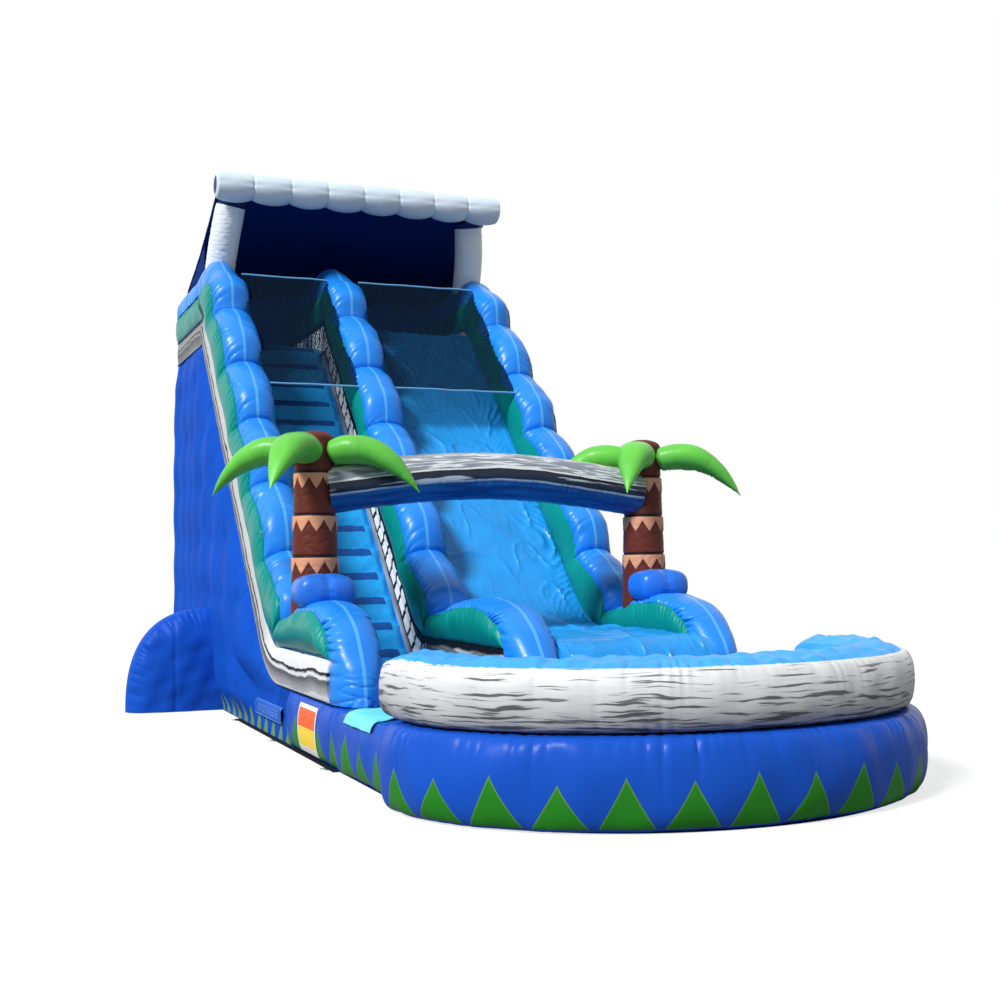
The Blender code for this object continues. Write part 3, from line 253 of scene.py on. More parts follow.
print("blue of the walls:", ROYAL)

# %% [markdown]
# The marbled prints. A line is the place where a value passes an edge, and it waves because noise
# is added to the value first. The streaks are noise that is stretched along the fabric.

# %% Marbled prints
STONE_PITCH = 0.20
STONE_HEAD = 0.045
STONE_FOOT = 0.245
STONE_END = 7.05
MARBLE_LAYERS = ((0.30, 0.02, INK), (0.37, 0.05, PALE), (0.47, 0.04, (0.10, 0.11, 0.12)),
                 (0.55, 0.40, (0.62, 0.64, 0.65)), (0.86, 0.03, PALE))


def from_middle(value):
    """The distance from the middle of the unit cell that a value is in, 0 to a half."""
    return abs(value.step("FRACT") - 0.5)


def streaks(tree, layout, seed, scale, across):
    """Long wavy streaks along u: noise that a broader noise bends sideways."""
    drift = noise_at(tree, layout, 1.6, 2.0, (1, 2, 1))
    bend = add_node(tree, "CombineXYZ", {0: seed, 1: drift * 0.10})
    moved = add_node(tree, "VectorMath", {0: layout, 1: bend.outputs[0]}, operation="ADD")
    return noise_at(tree, moved.outputs[0], scale, 6.0, (1, across, 1))


def marbled(tree, base, u, v, layout):
    """The rails' printed strip, from v 0 on top to 1: white, a wavy black line, a grey band that
    fades to white, and a dark edge. Painted shade dims it strongly on the platform and less down
    the slope."""
    sway = noise_at(tree, layout, 1.3, 3.0, (1, 0.2, 1)) - 0.5
    fine = noise_at(tree, layout, 7.0, 3.0, (1, 2.0, 1)) - 0.5
    base = layered(tree, v + sway * 0.42 + fine * 0.10, PALE, MARBLE_LAYERS)
    base = between(tree, past(v, 0.965, 0.01), base, INK)
    # Painted shade: near-black mixed in strongly on the platform, less on the slope, none past u
    # 6.9 round the hump.
    shade = past(u, 2.1, 0.3) * 0.35 + past(u, 6.9, 0.3) * 0.35 + 0.3
    return between(tree, shade, (0.05, 0.055, 0.06), base)


def ring_print(tree, base, u, v, layout):
    """The pool ring: sky blue on top, then white with dark wavy strokes that grow closer towards
    its foot, where painted shade also turns the white grey."""
    down = (noise_at(tree, layout, 3.2, 2.0) - 0.5) * 0.11 + v
    place = add_node(tree, "CombineXYZ", {0: u, 1: down}).outputs[0]
    grain = noise_at(tree, place, 1.0, 3.5, (2.4, 24.0, 1))
    stroke = past(grain, v * -0.15 + 0.62, 0.06)
    # Painted shade: the white darkens to grey towards the foot, broken up by the printed grain.
    tone = past(v * 1.3 + grain * 0.5, 0.62, 0.95)
    grey = between(tree, tone, (0.72, 0.74, 0.75), (0.20, 0.21, 0.22))
    printed = between(tree, stroke * 0.85, grey, (0.03, 0.035, 0.04))
    printed = between(tree, past(v, 0.93, 0.02), printed, INK)
    return between(tree, past(v, 0.0, 0.004), base, printed)


def stone_strip(tree, base, u, v, layout):
    """A course of white stones with black joints along the slope, a grey strip under it and the
    lane's blue below that. Round the hump, where u is past the last stone, it is all marbled, with
    a painted shadow along its top edge."""
    sway = noise_at(tree, layout, 3.0, 2.0) - 0.5
    down = sway * 0.07 + v
    joint = (0.5 - from_middle(sway * 0.6 + u / STONE_PITCH)) * STONE_PITCH
    course = between(tree, past(joint, 0.020, 0.006), INK, (0.92, 0.93, 0.92))
    course = between(tree, past(down, STONE_HEAD, 0.006), INK, course)
    tone = streaks(tree, layout, 2.2, 1.6, 5.0)
    grey = between(tree, past(tone, 0.40, 0.3), (0.42, 0.43, 0.44), (0.10, 0.11, 0.12))
    lane = between(tree, past(v, STONE_FOOT + 0.13, 0.01), grey, LANE_BLUE)
    rest = between(tree, past(down, STONE_FOOT + 0.030, 0.006), INK, lane)
    slope = between(tree, past(down, STONE_FOOT, 0.006), course, rest)
    pale = between(tree, past(tone, 0.50, 0.10), (0.16, 0.17, 0.18), (0.60, 0.61, 0.62))
    # Painted shadow: a black band along the top edge round the hump, under the coloured side.
    foot = between(tree, past(down, 0.045, 0.02), INK, pale)
    return between(tree, past(u, STONE_END, 0.02), slope, foot)


def arch_print(tree, base, u, v, layout):
    """The arch, from v 0 on top to 1 below: grey with pale streaks, a white and a black line,
    dark marbling, a pale streak and a blue underside."""
    tone = streaks(tree, layout, 4.2, 1.9, 9.0)
    pale = past(abs(tone - 0.52), 0.006, 0.06)
    top = between(tree, pale, (0.74, 0.77, 0.80), (0.22, 0.25, 0.29))
    sway = noise_at(tree, layout, 0.9, 3.0, (1, 0, 1)) - 0.5
    marble = past(streaks(tree, layout, 8.8, 1.2, 9.0), 0.57, 0.05)
    middle = between(tree, marble, (0.004, 0.016, 0.045), (0.50, 0.55, 0.60))
    low = between(tree, past(tone, 0.42, 0.3), (0.006, 0.06, 0.26), (0.02, 0.17, 0.50))
    layers = ((0.40, 0.006, PALE), (0.42, 0.006, INK), (0.45, 0.02, middle),
              (0.56, 0.010, (0.35, 0.45, 0.58)), (0.58, 0.02, low))
    return layered(tree, sway * 0.14 + v, top, layers)


# %% [markdown]
# The figures: leaves, collars, stripes and patches. A row of leaves divides u into cells. Each
# cell has a random number for its leaf's height, and the leaf's half width shrinks with the
# height.

# %% Figures
STRIPE_HALF = 0.010
STEP_PATCH_HALF = 0.43
LEAF_PITCH = 0.385
LEAF_FOOT = 0.028
BLADE_PITCH = 0.30
COLLAR_HEIGHTS = (1.63, 1.99, 2.36)
COLLAR_POINTS = 9
COLLAR_BAND = 0.035
COLLAR_DROP = 0.105
BOLSTER_MIDDLE = 1.76
POST_COLLAR = 0.835
PATCH_MIDDLE = 0.247
PATCH_ALONG = -1.97
FLAP_ALONG = -0.35
FLAP_LINES = (0.200, 0.227, 0.254)


def centre_stripe(tree, base, u, v, layout):
    """A light stripe along the middle of a cap, where v is 0."""
    return between(tree, past(abs(v), STRIPE_HALF, 0.004), STRIPE_BLUE, base)


def leaf_cells(tree, row):
    """A random number for each cell of a row of leaves, and the distance from its middle."""
    luck = add_node(tree, "TexWhiteNoise", {"W": row.step("FLOOR")}, noise_dimensions="1D")
    return Number(tree, luck.outputs[0]), from_middle(row)


def grass_points(tree, base, u, v, layout):
    """Pointed leaves along the foot, where v is the height and u runs round the slide."""
    luck, side = leaf_cells(tree, u / LEAF_PITCH)
    share = (v - LEAF_FOOT) / (luck * 0.06 + 0.27)
    left = (1.0 - share).step("ADD", 0.0, clamp=True)
    inside = left ** 1.15 * 0.44 - side
    leaf = past(inside, 0.0, 0.010) * past(v, LEAF_FOOT, 0.003)
    green = between(tree, past(inside, 0.022, 0.012), EDGE_GREEN, GREEN)
    return between(tree, leaf, base, green)


def grass_blades(tree, base, u, v, layout):
    """Thin leaning leaves along the foot of the side walls."""
    luck, side = leaf_cells(tree, (v * 0.25 + u) / BLADE_PITCH)
    left = (1.0 - v / (luck * 0.07 + 0.20)).step("ADD", 0.0, clamp=True)
    leaf = past(left * 0.33 - side, 0.0, 0.03)
    return between(tree, leaf * 0.85, base, YELLOW_GREEN)


def step_patch(tree, base, u, v, layout):
    """A dark patch round each step's nose: u runs across, v is 1 on the patch's middle."""
    across = past(abs(u), STEP_PATCH_HALF, 0.004)
    return between(tree, past(v, 0.5, 0.05) * (1.0 - across), base, STEP_BLUE)


def collar_print(tree, base, u, v, layout):
    """Tan collars on the trunk: u counts the hanging points, v is the height."""
    drop = (1.0 - from_middle(u) * 2.0) ** 0.9 * COLLAR_DROP + COLLAR_BAND
    for height in COLLAR_HEIGHTS:
        below = height - v
        started = past(below, 0.0)
        shade = past(below, -0.026, 0.006) * (1.0 - started)
        base = between(tree, started * past(drop - below, 0.0, 0.003), base, TAN)
        base = between(tree, shade, base, INK)
    return base


def bolster_print(tree, base, u, v, layout):
    """Navy round both ends of the bolster, where u is measured from its left end."""
    ends = past(abs(u - BOLSTER_MIDDLE), BOLSTER_MIDDLE - 0.012, 0.004)
    return between(tree, ends, base, NAVY)


def post_print(tree, base, u, v, layout):
    """A navy band round the head of each post."""
    return between(tree, past(u, POST_COLLAR, 0.003), base, NAVY)


def patch_print(tree, base, u, v, layout):
    """Orange over yellow, with a pale border: u along the side, v the height."""
    base = between(tree, past(v, PATCH_MIDDLE, 0.003), YELLOW, ORANGE)
    aside = past(abs(u - PATCH_ALONG), 0.262, 0.004)
    border = aside.step("MAXIMUM", past(abs(v - PATCH_MIDDLE), 0.150, 0.004))
    return between(tree, border, base, PALE)


def flap_print(tree, base, u, v, layout):
    """A pale outline and three short lines on the zip's flap."""
    reach = abs(u - FLAP_ALONG)
    border = past(reach, 0.518, 0.003).step("MAXIMUM", past(v, 0.288, 0.002))
    border = border.step("MAXIMUM", 1.0 - past(v, 0.167, 0.002))
    inside = 1.0 - past(reach, 0.42, 0.003)
    for height in FLAP_LINES:
        line = 1.0 - past(abs(v - height), 0.006, 0.002)
        border = border.step("MAXIMUM", line * inside)
    return between(tree, border, base, LINE_BLUE)


# %% [markdown]
# Webbing, netting, steel and plastic have one colour and a fine grain. They need no print.

# %% Plain surfaces
PLAIN_GRAIN_SCALE = 400.0


def plain_surface(name, colour, roughness, metallic=0.0):
    """One colour with a fine grain. Rough surfaces reflect less than smooth ones."""
    material = bpy.data.materials.new(name)
    material.use_nodes = True
    tree = material.node_tree
    shader = tree.nodes["Principled BSDF"]
    shader.inputs["Metallic"].default_value = metallic
    shader.inputs["Specular IOR Level"].default_value = 0.5 if roughness < 0.5 else 0.1
    shader.inputs["Roughness"].default_value = roughness
    grain = noise_at(tree, add_node(tree, "TexCoord").outputs["Object"], PLAIN_GRAIN_SCALE, 2.0)
    base = between(tree, grain, tuple(c * 0.8 for c in colour), tuple(c * 1.15 for c in colour))
    tree.links.new(base, shader.inputs["Base Color"])
    bump = add_node(tree, "Bump", {"Height": grain, "Strength": 0.3, "Distance": 0.001})
    tree.links.new(bump.outputs[0], shader.inputs["Normal"])
    return material


# %% [markdown]
# One material per colour and print: its colour, roughness, print, depth of creases, variation of
# tone and shine. White fabric scatters more and shines less than blue fabric.

# %% Materials
royal = coated_fabric("royal_fabric", ROYAL, 0.40, None, 0.25, 0.08, 0.06)
wall_royal = coated_fabric("wall_fabric", ROYAL, 0.50, grass_blades, 0.15, 0.30, 0.01)
tube_royal = coated_fabric("pool_tube_fabric", ROYAL, 0.34, grass_points, 0.2, 0.10, 0.12)
cap_blue = coated_fabric("cap_fabric", CAP_BLUE, 0.34, centre_stripe, 0.15, 0.16, 0.35)
pillow_blue = coated_fabric("pillow_fabric", PILLOW_BLUE, 0.32, None, 0.3, 0.12, 0.4)
teal = coated_fabric("teal_fabric", TEAL, 0.34, None, 0.12, 0.16, 0.12)
marble = coated_fabric("marbled_fabric", PALE, 0.46, marbled, 0.3, 0.1, 0.15)
stone = coated_fabric("stone_fabric", PALE, 0.46, stone_strip, 0.4, 0.1, 0.12)
ring_fabric = coated_fabric("ring_fabric", RING_BLUE, 0.38, ring_print, 0.3, 0.15, 0.25)
arch_fabric = coated_fabric("arch_fabric", GREY, 0.34, arch_print, 0.3, 0.1, 0.35)
step_fabric = coated_fabric("step_fabric", LANE_BLUE, 0.42, step_patch, 0.35, 0.14, 0.2)
lane_fabric = coated_fabric("lane_fabric", LANE_BLUE, 0.42, None, 0.3, 0.18, 0.2)
liner_fabric = coated_fabric("liner_fabric", LINER_BLUE, 0.34, None, 0.2, 0.22, 0.3)
sky_fabric = coated_fabric("sky_fabric", CYAN, 0.36)
navy_fabric = coated_fabric("navy_fabric", NAVY, 0.6, None, 0.2, 0.1, 0.08)
white_fabric = coated_fabric("white_fabric", WHITE, 0.50, post_print, 0.3, 0.05, 0.2)
leaf_fabric = coated_fabric("leaf_fabric", LIME, 0.38, None, 0.2, 0.30, 0.3)
trunk_fabric = coated_fabric("trunk_fabric", BARK, 0.50, collar_print, 0.4, 0.35, 0.2)
patch_fabric = coated_fabric("patch_fabric", ORANGE, 0.42, patch_print, 0.2)
flap_fabric = coated_fabric("flap_fabric", ROYAL, 0.42, flap_print, 0.2)
mat_fabric = coated_fabric("mat_fabric", MAT_CYAN, 0.42, None, 0.3)
bolster_fabric = coated_fabric("bolster_fabric", BOLSTER_WHITE, 0.46, bolster_print, 0.3, 0.08,
                               0.2)
screen_fabric = plain_surface("screen_fabric", (0.003, 0.03, 0.18), 0.9)
net_fabric = plain_surface("net_fabric", (0.001, 0.010, 0.026), 0.9)
edge_fabric = plain_surface("edge_fabric", (0.16, 0.42, 0.72), 0.6)
piping_fabric = plain_surface("piping_fabric", (0.02, 0.08, 0.30), 0.6)
webbing = plain_surface("black_webbing", (0.012, 0.012, 0.014), 0.85)
steel = plain_surface("ring_steel", (0.55, 0.56, 0.58), 0.3, 1.0)
plastic = plain_surface("black_plastic", (0.015, 0.015, 0.017), 0.4)
inlet_metal = plain_surface("inlet_metal", (0.62, 0.60, 0.55), 0.35, 1.0)
print("materials:", len(bpy.data.materials))

# %% [markdown]
# A new piece starts as a grid of points: rows along it and columns across it. These helpers do
# what almost every grid needs: run over one face and back over the other, close a ring, and
# measure how far along a line each point is.

# %% Helpers for grids
def ring_closed(rows):
    """Rows with their first column repeated after the last, which closes a ring."""
    return np.concatenate([rows, rows[:, :1]], 1)


def closed_uv(u, v):
    """A UV map round a closed ring, from u and v at each point."""
    return np.stack([ring_closed(u), ring_closed(v)], -1)


def there_and_back(outer, inner):
    """Rows that run over one face and come back over the other."""
    return np.concatenate([outer, inner[:, ::-1]], 1)


def full_turn(columns):
    """Angles in even steps once round, as one row; the end is left out, as it is the start."""
    return np.linspace(0, 2 * math.pi, columns, endpoint=False)[None, :]


def length_along(line):
    """How far along a line each point is: the sum of the steps before it."""
    return np.r_[0, np.cumsum(np.linalg.norm(np.diff(line, axis=0), axis=1))]


def quads_of(index):
    """The four corners of every cell in a grid of point numbers."""
    cells = np.stack([index[:-1, :-1], index[:-1, 1:], index[1:, 1:], index[1:, :-1]], -1)
    return cells.reshape(-1, 4).tolist()


# %% [markdown]
# The grid's faces come from one array of point numbers. A bmesh could be built face by face, but
# whole arrays are faster. Where the columns go right round, the last joins the first, and where
# the piece is closed, a fan of triangles fills each end row.

# %% From a grid of points to a piece
TOWER_BACK = 5.10
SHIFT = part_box("back_wall")[1].y - TOWER_BACK
BODY = "slide"
SHARP_ANGLE = 55
MERGE_DISTANCE = 1e-5


def add_surface(name, points, uv, material, around=False, closed=False, nodes=(),
                body=BODY, sharp=SHARP_ANGLE):
    """A piece from points (rows, columns, 3) and a UV map (rows, columns, 2) in metres."""
    points = np.array(points, float)
    rows, columns = points.shape[:2]
    index = np.arange(rows * columns).reshape(rows, columns)
    if around:
        index = ring_closed(index)
    corners = np.stack([uv[:-1, :-1], uv[:-1, 1:], uv[1:, 1:], uv[1:, :-1]], 2)
    faces = quads_of(index)
    layout = [corners.reshape(-1, 2)]
    vertices = points.reshape(-1, 3)
    if closed:
        for row in ((0,) if closed == "start" else (0, rows - 1)):
            hub = len(vertices)
            vertices = np.vstack([vertices, points[row].mean(0)])
            ring = index[row]
            faces += [[hub, a, b] for a, b in zip(ring[:-1].tolist(), ring[1:].tolist())]
            hubs = np.broadcast_to(uv[row].mean(0), uv[row, :-1].shape)
            spread = np.stack([hubs, uv[row, :-1], uv[row, 1:]], 1)
            layout.append(spread.reshape(-1, 2))
    vertices[:, 1] += SHIFT
    mesh = bpy.data.meshes.new(name)
    mesh.from_pydata(vertices.tolist(), [], faces)
    mesh.uv_layers.new(name="UVMap").data.foreach_set("uv", np.vstack(layout).ravel())
    return finish_piece(name, mesh, material, closed, nodes, body, sharp)


def finish_piece(name, mesh, material, closed, nodes, body, sharp=SHARP_ANGLE):
    """Merge doubles, turn faces outwards, shade smooth, hang the piece on its body, and hide the
    solids it stands for.
    """
    work = bmesh.new()
    work.from_mesh(mesh)
    bmesh.ops.remove_doubles(work, verts=work.verts, dist=MERGE_DISTANCE)
    if closed:
        bmesh.ops.recalc_face_normals(work, faces=work.faces)
    work.to_mesh(mesh)
    work.free()
    mesh.shade_smooth()
    mesh.set_sharp_from_angle(angle=math.radians(sharp))
    mesh.materials.append(material)
    piece = bpy.data.objects.new(name, mesh)
    bpy.context.scene.collection.objects.link(piece)
    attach(piece, body)
    if nodes:
        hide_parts(*nodes)
    print(name, len(mesh.polygons), "faces")
    return piece


def add_solid(name, points, uv, material, node=None, body=BODY):
    """A closed piece that stands for one solid of the frame, or for none where it is trim."""
    nodes = [node] if node else ()
    return add_surface(name, points, uv, material, True, True, nodes, body)


def plain_uv(points, around=False):
    """A UV map in metres: u is the mean distance from row to row, v the distance across a row."""
    along = np.linalg.norm(np.diff(points, axis=0), axis=2).mean(1)
    u = np.r_[0, np.cumsum(along)]
    if around:
        points = ring_closed(points)
    across = np.linalg.norm(np.diff(points, axis=1), axis=2)
    v = np.hstack([np.zeros((len(points), 1)), np.cumsum(across, 1)])
    return np.stack([np.broadcast_to(u[:, None], v.shape), v], -1)


# %% [markdown]
# Three things make fabric look blown up. Smooth noise gives slow swells, folded noise gives sharp
# creases, and a pucker is the short valley that a gathered seam pulls into the fabric: narrow,
# deepest at the seam, and gone a hand's width away.

# %% Swells, creases and puckers
def smooth_noise(a, b, size, seed, count=14):
    """The mean of plane waves in random directions, with lengths near a size; about -1 to 1."""
    draw = np.random.default_rng(seed)
    total = 0.0
    for _ in range(count):
        heading = draw.uniform(0, 2 * math.pi)
        wave = 2 * math.pi / (size * draw.uniform(0.6, 1.7))
        total = total + np.sin(wave * (a * math.cos(heading) + b * math.sin(heading))
                               + draw.uniform(0, 2 * math.pi))
    return total / math.sqrt(count / 2)


def creases(a, b, size, seed, sharpness=6.0):
    """Thin raised folds, 0 to 1, with a rounded top where smooth noise passes through zero."""
    noise = smooth_noise(a, b, size, seed)
    return np.exp(-sharpness * (np.sqrt(noise ** 2 + 0.006) - 0.077))


def puckers(along, away, pitch, reach, seed):
    """Valleys across a seam, 0 to 1, with an uneven pitch and depth, fading away from the seam."""
    drift = smooth_noise(along, 0 * along, 5 * pitch, seed, 8)
    phase = math.pi * along / pitch + 1.3 * drift
    valley = (1 - np.abs(np.sin(phase))) ** 1.6
    depth = np.clip(0.62 + 0.38 * smooth_noise(along, 0 * along, 3 * pitch, seed + 1, 8), 0.1, 1)
    slack = 1 + 0.35 * smooth_noise(along, 0 * along, 2 * pitch, seed + 2, 8)
    return valley * depth * np.exp(-(away / (reach * slack)) ** 2)


def ease(value, low, high):
    """0 below low and 1 above high, with a smooth rise between."""
    share = np.clip((value - low) / (high - low), 0, 1)
    return share * share * (3 - 2 * share)


# %% [markdown]
# The side view is drawn in y and z. The lanes climb at one angle, so a line along the slope is
# given by its level, the distance above a datum through the origin. Edges run level on the
# platform, turn down the slope, and turn level again at the foot.

# %% Measures of the side view
SLOPE = math.radians(46.5)
SIN = math.sin(SLOPE)
COS = math.cos(SLOPE)
HALF_WIDTH = 1.784
RAIL_WIDTH = 0.35
RAIL_HALF = RAIL_WIDTH / 2
RAIL_CENTRE = HALF_WIDTH - RAIL_HALF
RAIL_INNER = HALF_WIDTH - RAIL_WIDTH
DIVIDER_CENTRE = -0.22
DIVIDER_HALF = 0.19
DIVIDER_LEFT = DIVIDER_CENTRE - DIVIDER_HALF
DIVIDER_RIGHT = DIVIDER_CENTRE + DIVIDER_HALF
WALL_FRONT = -1.25
PAD_FRONT = -3.00
DECK_FRONT = 3.15
BACK_WALL = 0.35
WALL_TOP = 4.18
ROCK_TOP = 4.475
SIDE_TOP = 4.80
CREST_TOP = 5.12
FOOT_TOP = 0.49
FOOT_ROCK_TOP = 0.83
WALL_LEVEL = 0.57
ROCK_LEVEL = 0.93
CREST_LEVEL = 1.41
GROUND = 0.006
SIDES = {"left": -1, "right": 1}
print("between the rails:", round(2 * RAIL_INNER, 3), "m")

# %% [markdown]
# Lines are arrays of (y, z) points. A corner is rounded by an arc that starts and ends on its two
# sides, so a few corners and radii describe a whole edge.

# %% Lines of the side view
def level_of(y, z):
    """The distance of a point above the slope's datum."""
    return COS * z - SIN * y


def level_y(level, height):
    """Where a line at this level reaches a height."""
    return (height * COS - level) / SIN


def slope_point(run, level):
    """The (y, z) of a distance up the slope and a level."""
    return run * COS - level * SIN, run * SIN + level * COS


def rounded(points, radii, steps=14):
    """A line with each inner corner replaced by an arc that touches both of its sides."""
    points = np.array(points, float)
    line = [points[:1]]
    for corner, before, after, radius in zip(points[1:-1], points, points[2:], radii):
        toward = (before - corner) / np.linalg.norm(before - corner)
        away = (after - corner) / np.linalg.norm(after - corner)
        half = math.acos(toward @ away) / 2
        middle = (toward + away) / np.linalg.norm(toward + away)
        centre = corner + middle * radius / math.sin(half)
        start = corner + toward * radius / math.tan(half) - centre
        end = corner + away * radius / math.tan(half) - centre
        sweep = math.pi - 2 * half
        t = np.linspace(0, 1, steps)[:, None]
        line.append(centre + (start * np.sin((1 - t) * sweep) + end * np.sin(t * sweep))
                    / math.sin(sweep))
    return np.vstack(line + [points[-1:]])


def edge_line(level, top, foot, front, bend):
    """An edge from the tower's back, down the slope and forward along the foot."""
    corners = [(TOWER_BACK, top), (level_y(level, top), top), (level_y(level, foot), foot),
               (front, foot)]
    return rounded(corners, (0.12, bend))


def spaced(line, spacing):
    """A line's points at an even spacing, by interpolation over its length."""
    length = length_along(line)
    marks = np.linspace(0, length[-1], max(2, int(round(length[-1] / spacing)) + 1))
    return np.stack([np.interp(marks, length, line[:, k]) for k in range(line.shape[1])], 1)


def height_on(line, y):
    """The height of an edge at a place along y."""
    return np.interp(y, line[::-1, 0], line[::-1, 1])


def curve_through(points, count):
    """A smooth curve through points: cubic pieces whose slopes come from the neighbours."""
    p = np.array(points, float)
    t = length_along(p[:, :2])
    slope = np.gradient(p, t, axis=0)
    x = np.linspace(0, t[-1], count)
    i = np.clip(np.searchsorted(t, x, side="right") - 1, 0, len(t) - 2)
    h = (t[i + 1] - t[i])[:, None]
    s = ((x - t[i]) / h[:, 0])[:, None]
    return ((2 * s ** 3 - 3 * s ** 2 + 1) * p[i] + (s ** 3 - 2 * s ** 2 + s) * h * slope[i]
            + (3 * s ** 2 - 2 * s ** 3) * p[i + 1] + (s ** 3 - s ** 2) * h * slope[i + 1])


# %% [markdown]
# A rail is a chain of swellings down the slope. Each rises slowly from its upper seam, is highest
# two thirds of the way down, and drops quickly into the next seam. The crest and the line that the
# cap is sewn along move together, so both are computed side by side. The first stretch is the dome
# on the platform, and the last runs through a saddle and over the round hump at the foot.

# %% The rail's crest
FIRST_SEAM = 4.81
LOBE_PITCH = 0.95
LOBE_COUNT = 5
LOBE_RISE = 0.165
LOBE_PEAK = 0.66
CAP_HEIGHT = 0.14
DOME_LENGTH = 0.38
DOME_RISE = 0.08
DOME_SHARES = ((2.2, 0.0, 2.2, 0.0), (1.0, 1.0, 0.9, 0.0), (0.25, 0.2, 0.1, 0.0),
               (-0.45, -1.7, -0.35, 0.2))
TOP_LOBE_SHARES = ((0.5, 0.72), (0.25, 1.0))
HUMP_FRONT = -2.88
DIVIDER_FRONT = -3.15
HUMP_TOP = 1.27
HUMP_SHARES = ((0.12, 0.85, 0.12, 0.75), (0.25, 0.95, 0.25, 0.85), (0.40, 0.995, 0.39, 0.895),
               (0.52, 1.0, 0.51, 0.90), (0.65, 0.965, 0.61, 0.87), (0.78, 0.85, 0.70, 0.79),
               (0.90, 0.62, 0.78, 0.66), (0.97, 0.35, 0.82, 0.45), (1.0, 0.0, 0.83, 0.0))
SADDLE_LIFT = 0.085
SADDLE_SEAT = 0.065
SADDLE_REACH = 0.34


def crest_point(run, rise):
    """Crest and seat, as (y, z, y, z), at a distance up the slope and a share of the rise."""
    level = CREST_LEVEL + LOBE_RISE * rise
    return [*slope_point(run, level), *slope_point(run, level - CAP_HEIGHT)]


def rail_profile(hump_front):
    """Rows down a rail: crest and seat, the distance to a cross seam, and the swell."""
    edge = level_y(CREST_LEVEL, CREST_TOP)
    top = [[TOWER_BACK, CREST_TOP, TOWER_BACK, SIDE_TOP],
           [(TOWER_BACK + edge) / 2 + DOME_LENGTH, CREST_TOP,
            (TOWER_BACK + edge) / 2 + DOME_LENGTH, SIDE_TOP]]
    for along, rise, seat_along, seat_rise in DOME_SHARES:
        top.append([edge + DOME_LENGTH * along, CREST_TOP + DOME_RISE * rise,
                    edge + DOME_LENGTH * seat_along, SIDE_TOP + DOME_RISE * seat_rise])
    top += [crest_point(FIRST_SEAM + LOBE_PITCH * k, rise) for k, rise in TOP_LOBE_SHARES]
    top.append(crest_point(FIRST_SEAM, 0))
    parts = [curve_through(top, 210)]
    swell = [ease(np.linspace(0, 1, 210), 0.3, 0.8)]
    down = np.linspace(0, 1, 76)
    rise = np.where(down < LOBE_PEAK,
                    np.sin(math.pi / 2 * np.minimum(down / LOBE_PEAK, 1)) ** 0.85,
                    np.cos(math.pi / 2 * np.clip((down - LOBE_PEAK) / (1 - LOBE_PEAK), 0, 1))
                    ** 0.75)
    for lobe in range(LOBE_COUNT):
        run = FIRST_SEAM - LOBE_PITCH * (lobe + down)
        lobe_line = np.stack(crest_point(run, rise), 1)
        if lobe == LOBE_COUNT - 1:
            lobe_line[:, 1::2] += SADDLE_LIFT * ease(down, 0.45, 1.0)[:, None]
        parts.append(lobe_line)
        swell.append(rise)
    saddle = list(parts[-1][-1])
    foot = FOOT_TOP + 0.001
    reach = saddle[0] - hump_front
    hump = [saddle]
    for along, rise_share, seat_along, seat_share in HUMP_SHARES:
        hump.append([saddle[0] - reach * along, foot + (HUMP_TOP - foot) * rise_share,
                     saddle[0] - reach * seat_along, foot + (HUMP_TOP - foot) * seat_share])
    parts.append(curve_through(hump, 220))
    swell.append(ease(np.linspace(0, 1, 220), 0.0, 0.25))
    counts = [len(part) for part in parts]
    profile = np.vstack([parts[0]] + [part[1:] for part in parts[1:]])
    swell = np.concatenate([swell[0]] + [part[1:] for part in swell[1:]])
    s = length_along(profile[:, :2])
    marks = np.cumsum([counts[0] - 1] + [count - 1 for count in counts[1:-1]])
    gap = np.abs(s[:, None] - s[marks][None, :]).min(1)
    saddle_near = np.exp(-((s - s[marks[-1]]) / SADDLE_REACH) ** 2)
    profile[:, 3] += SADDLE_SEAT * saddle_near
    return profile[:, :2], profile[:, 2:], s, gap, swell


# %% [markdown]
# The cap is half an oval over its seat. Its skin bulges in the middle of each swelling, is drawn
# in at every cross seam, and has puckers along both long seams, where it is sewn to the coloured
# side.

# %% Rail caps
CAP_COLUMNS = 44
PUCKER_PITCH = 0.10
PUCKER_DEPTH = 0.028
PUCKER_REACH = 0.14
SLANT = 0.45
EDGE_SWELL = 0.022
OUTER_BELLY = 0.040


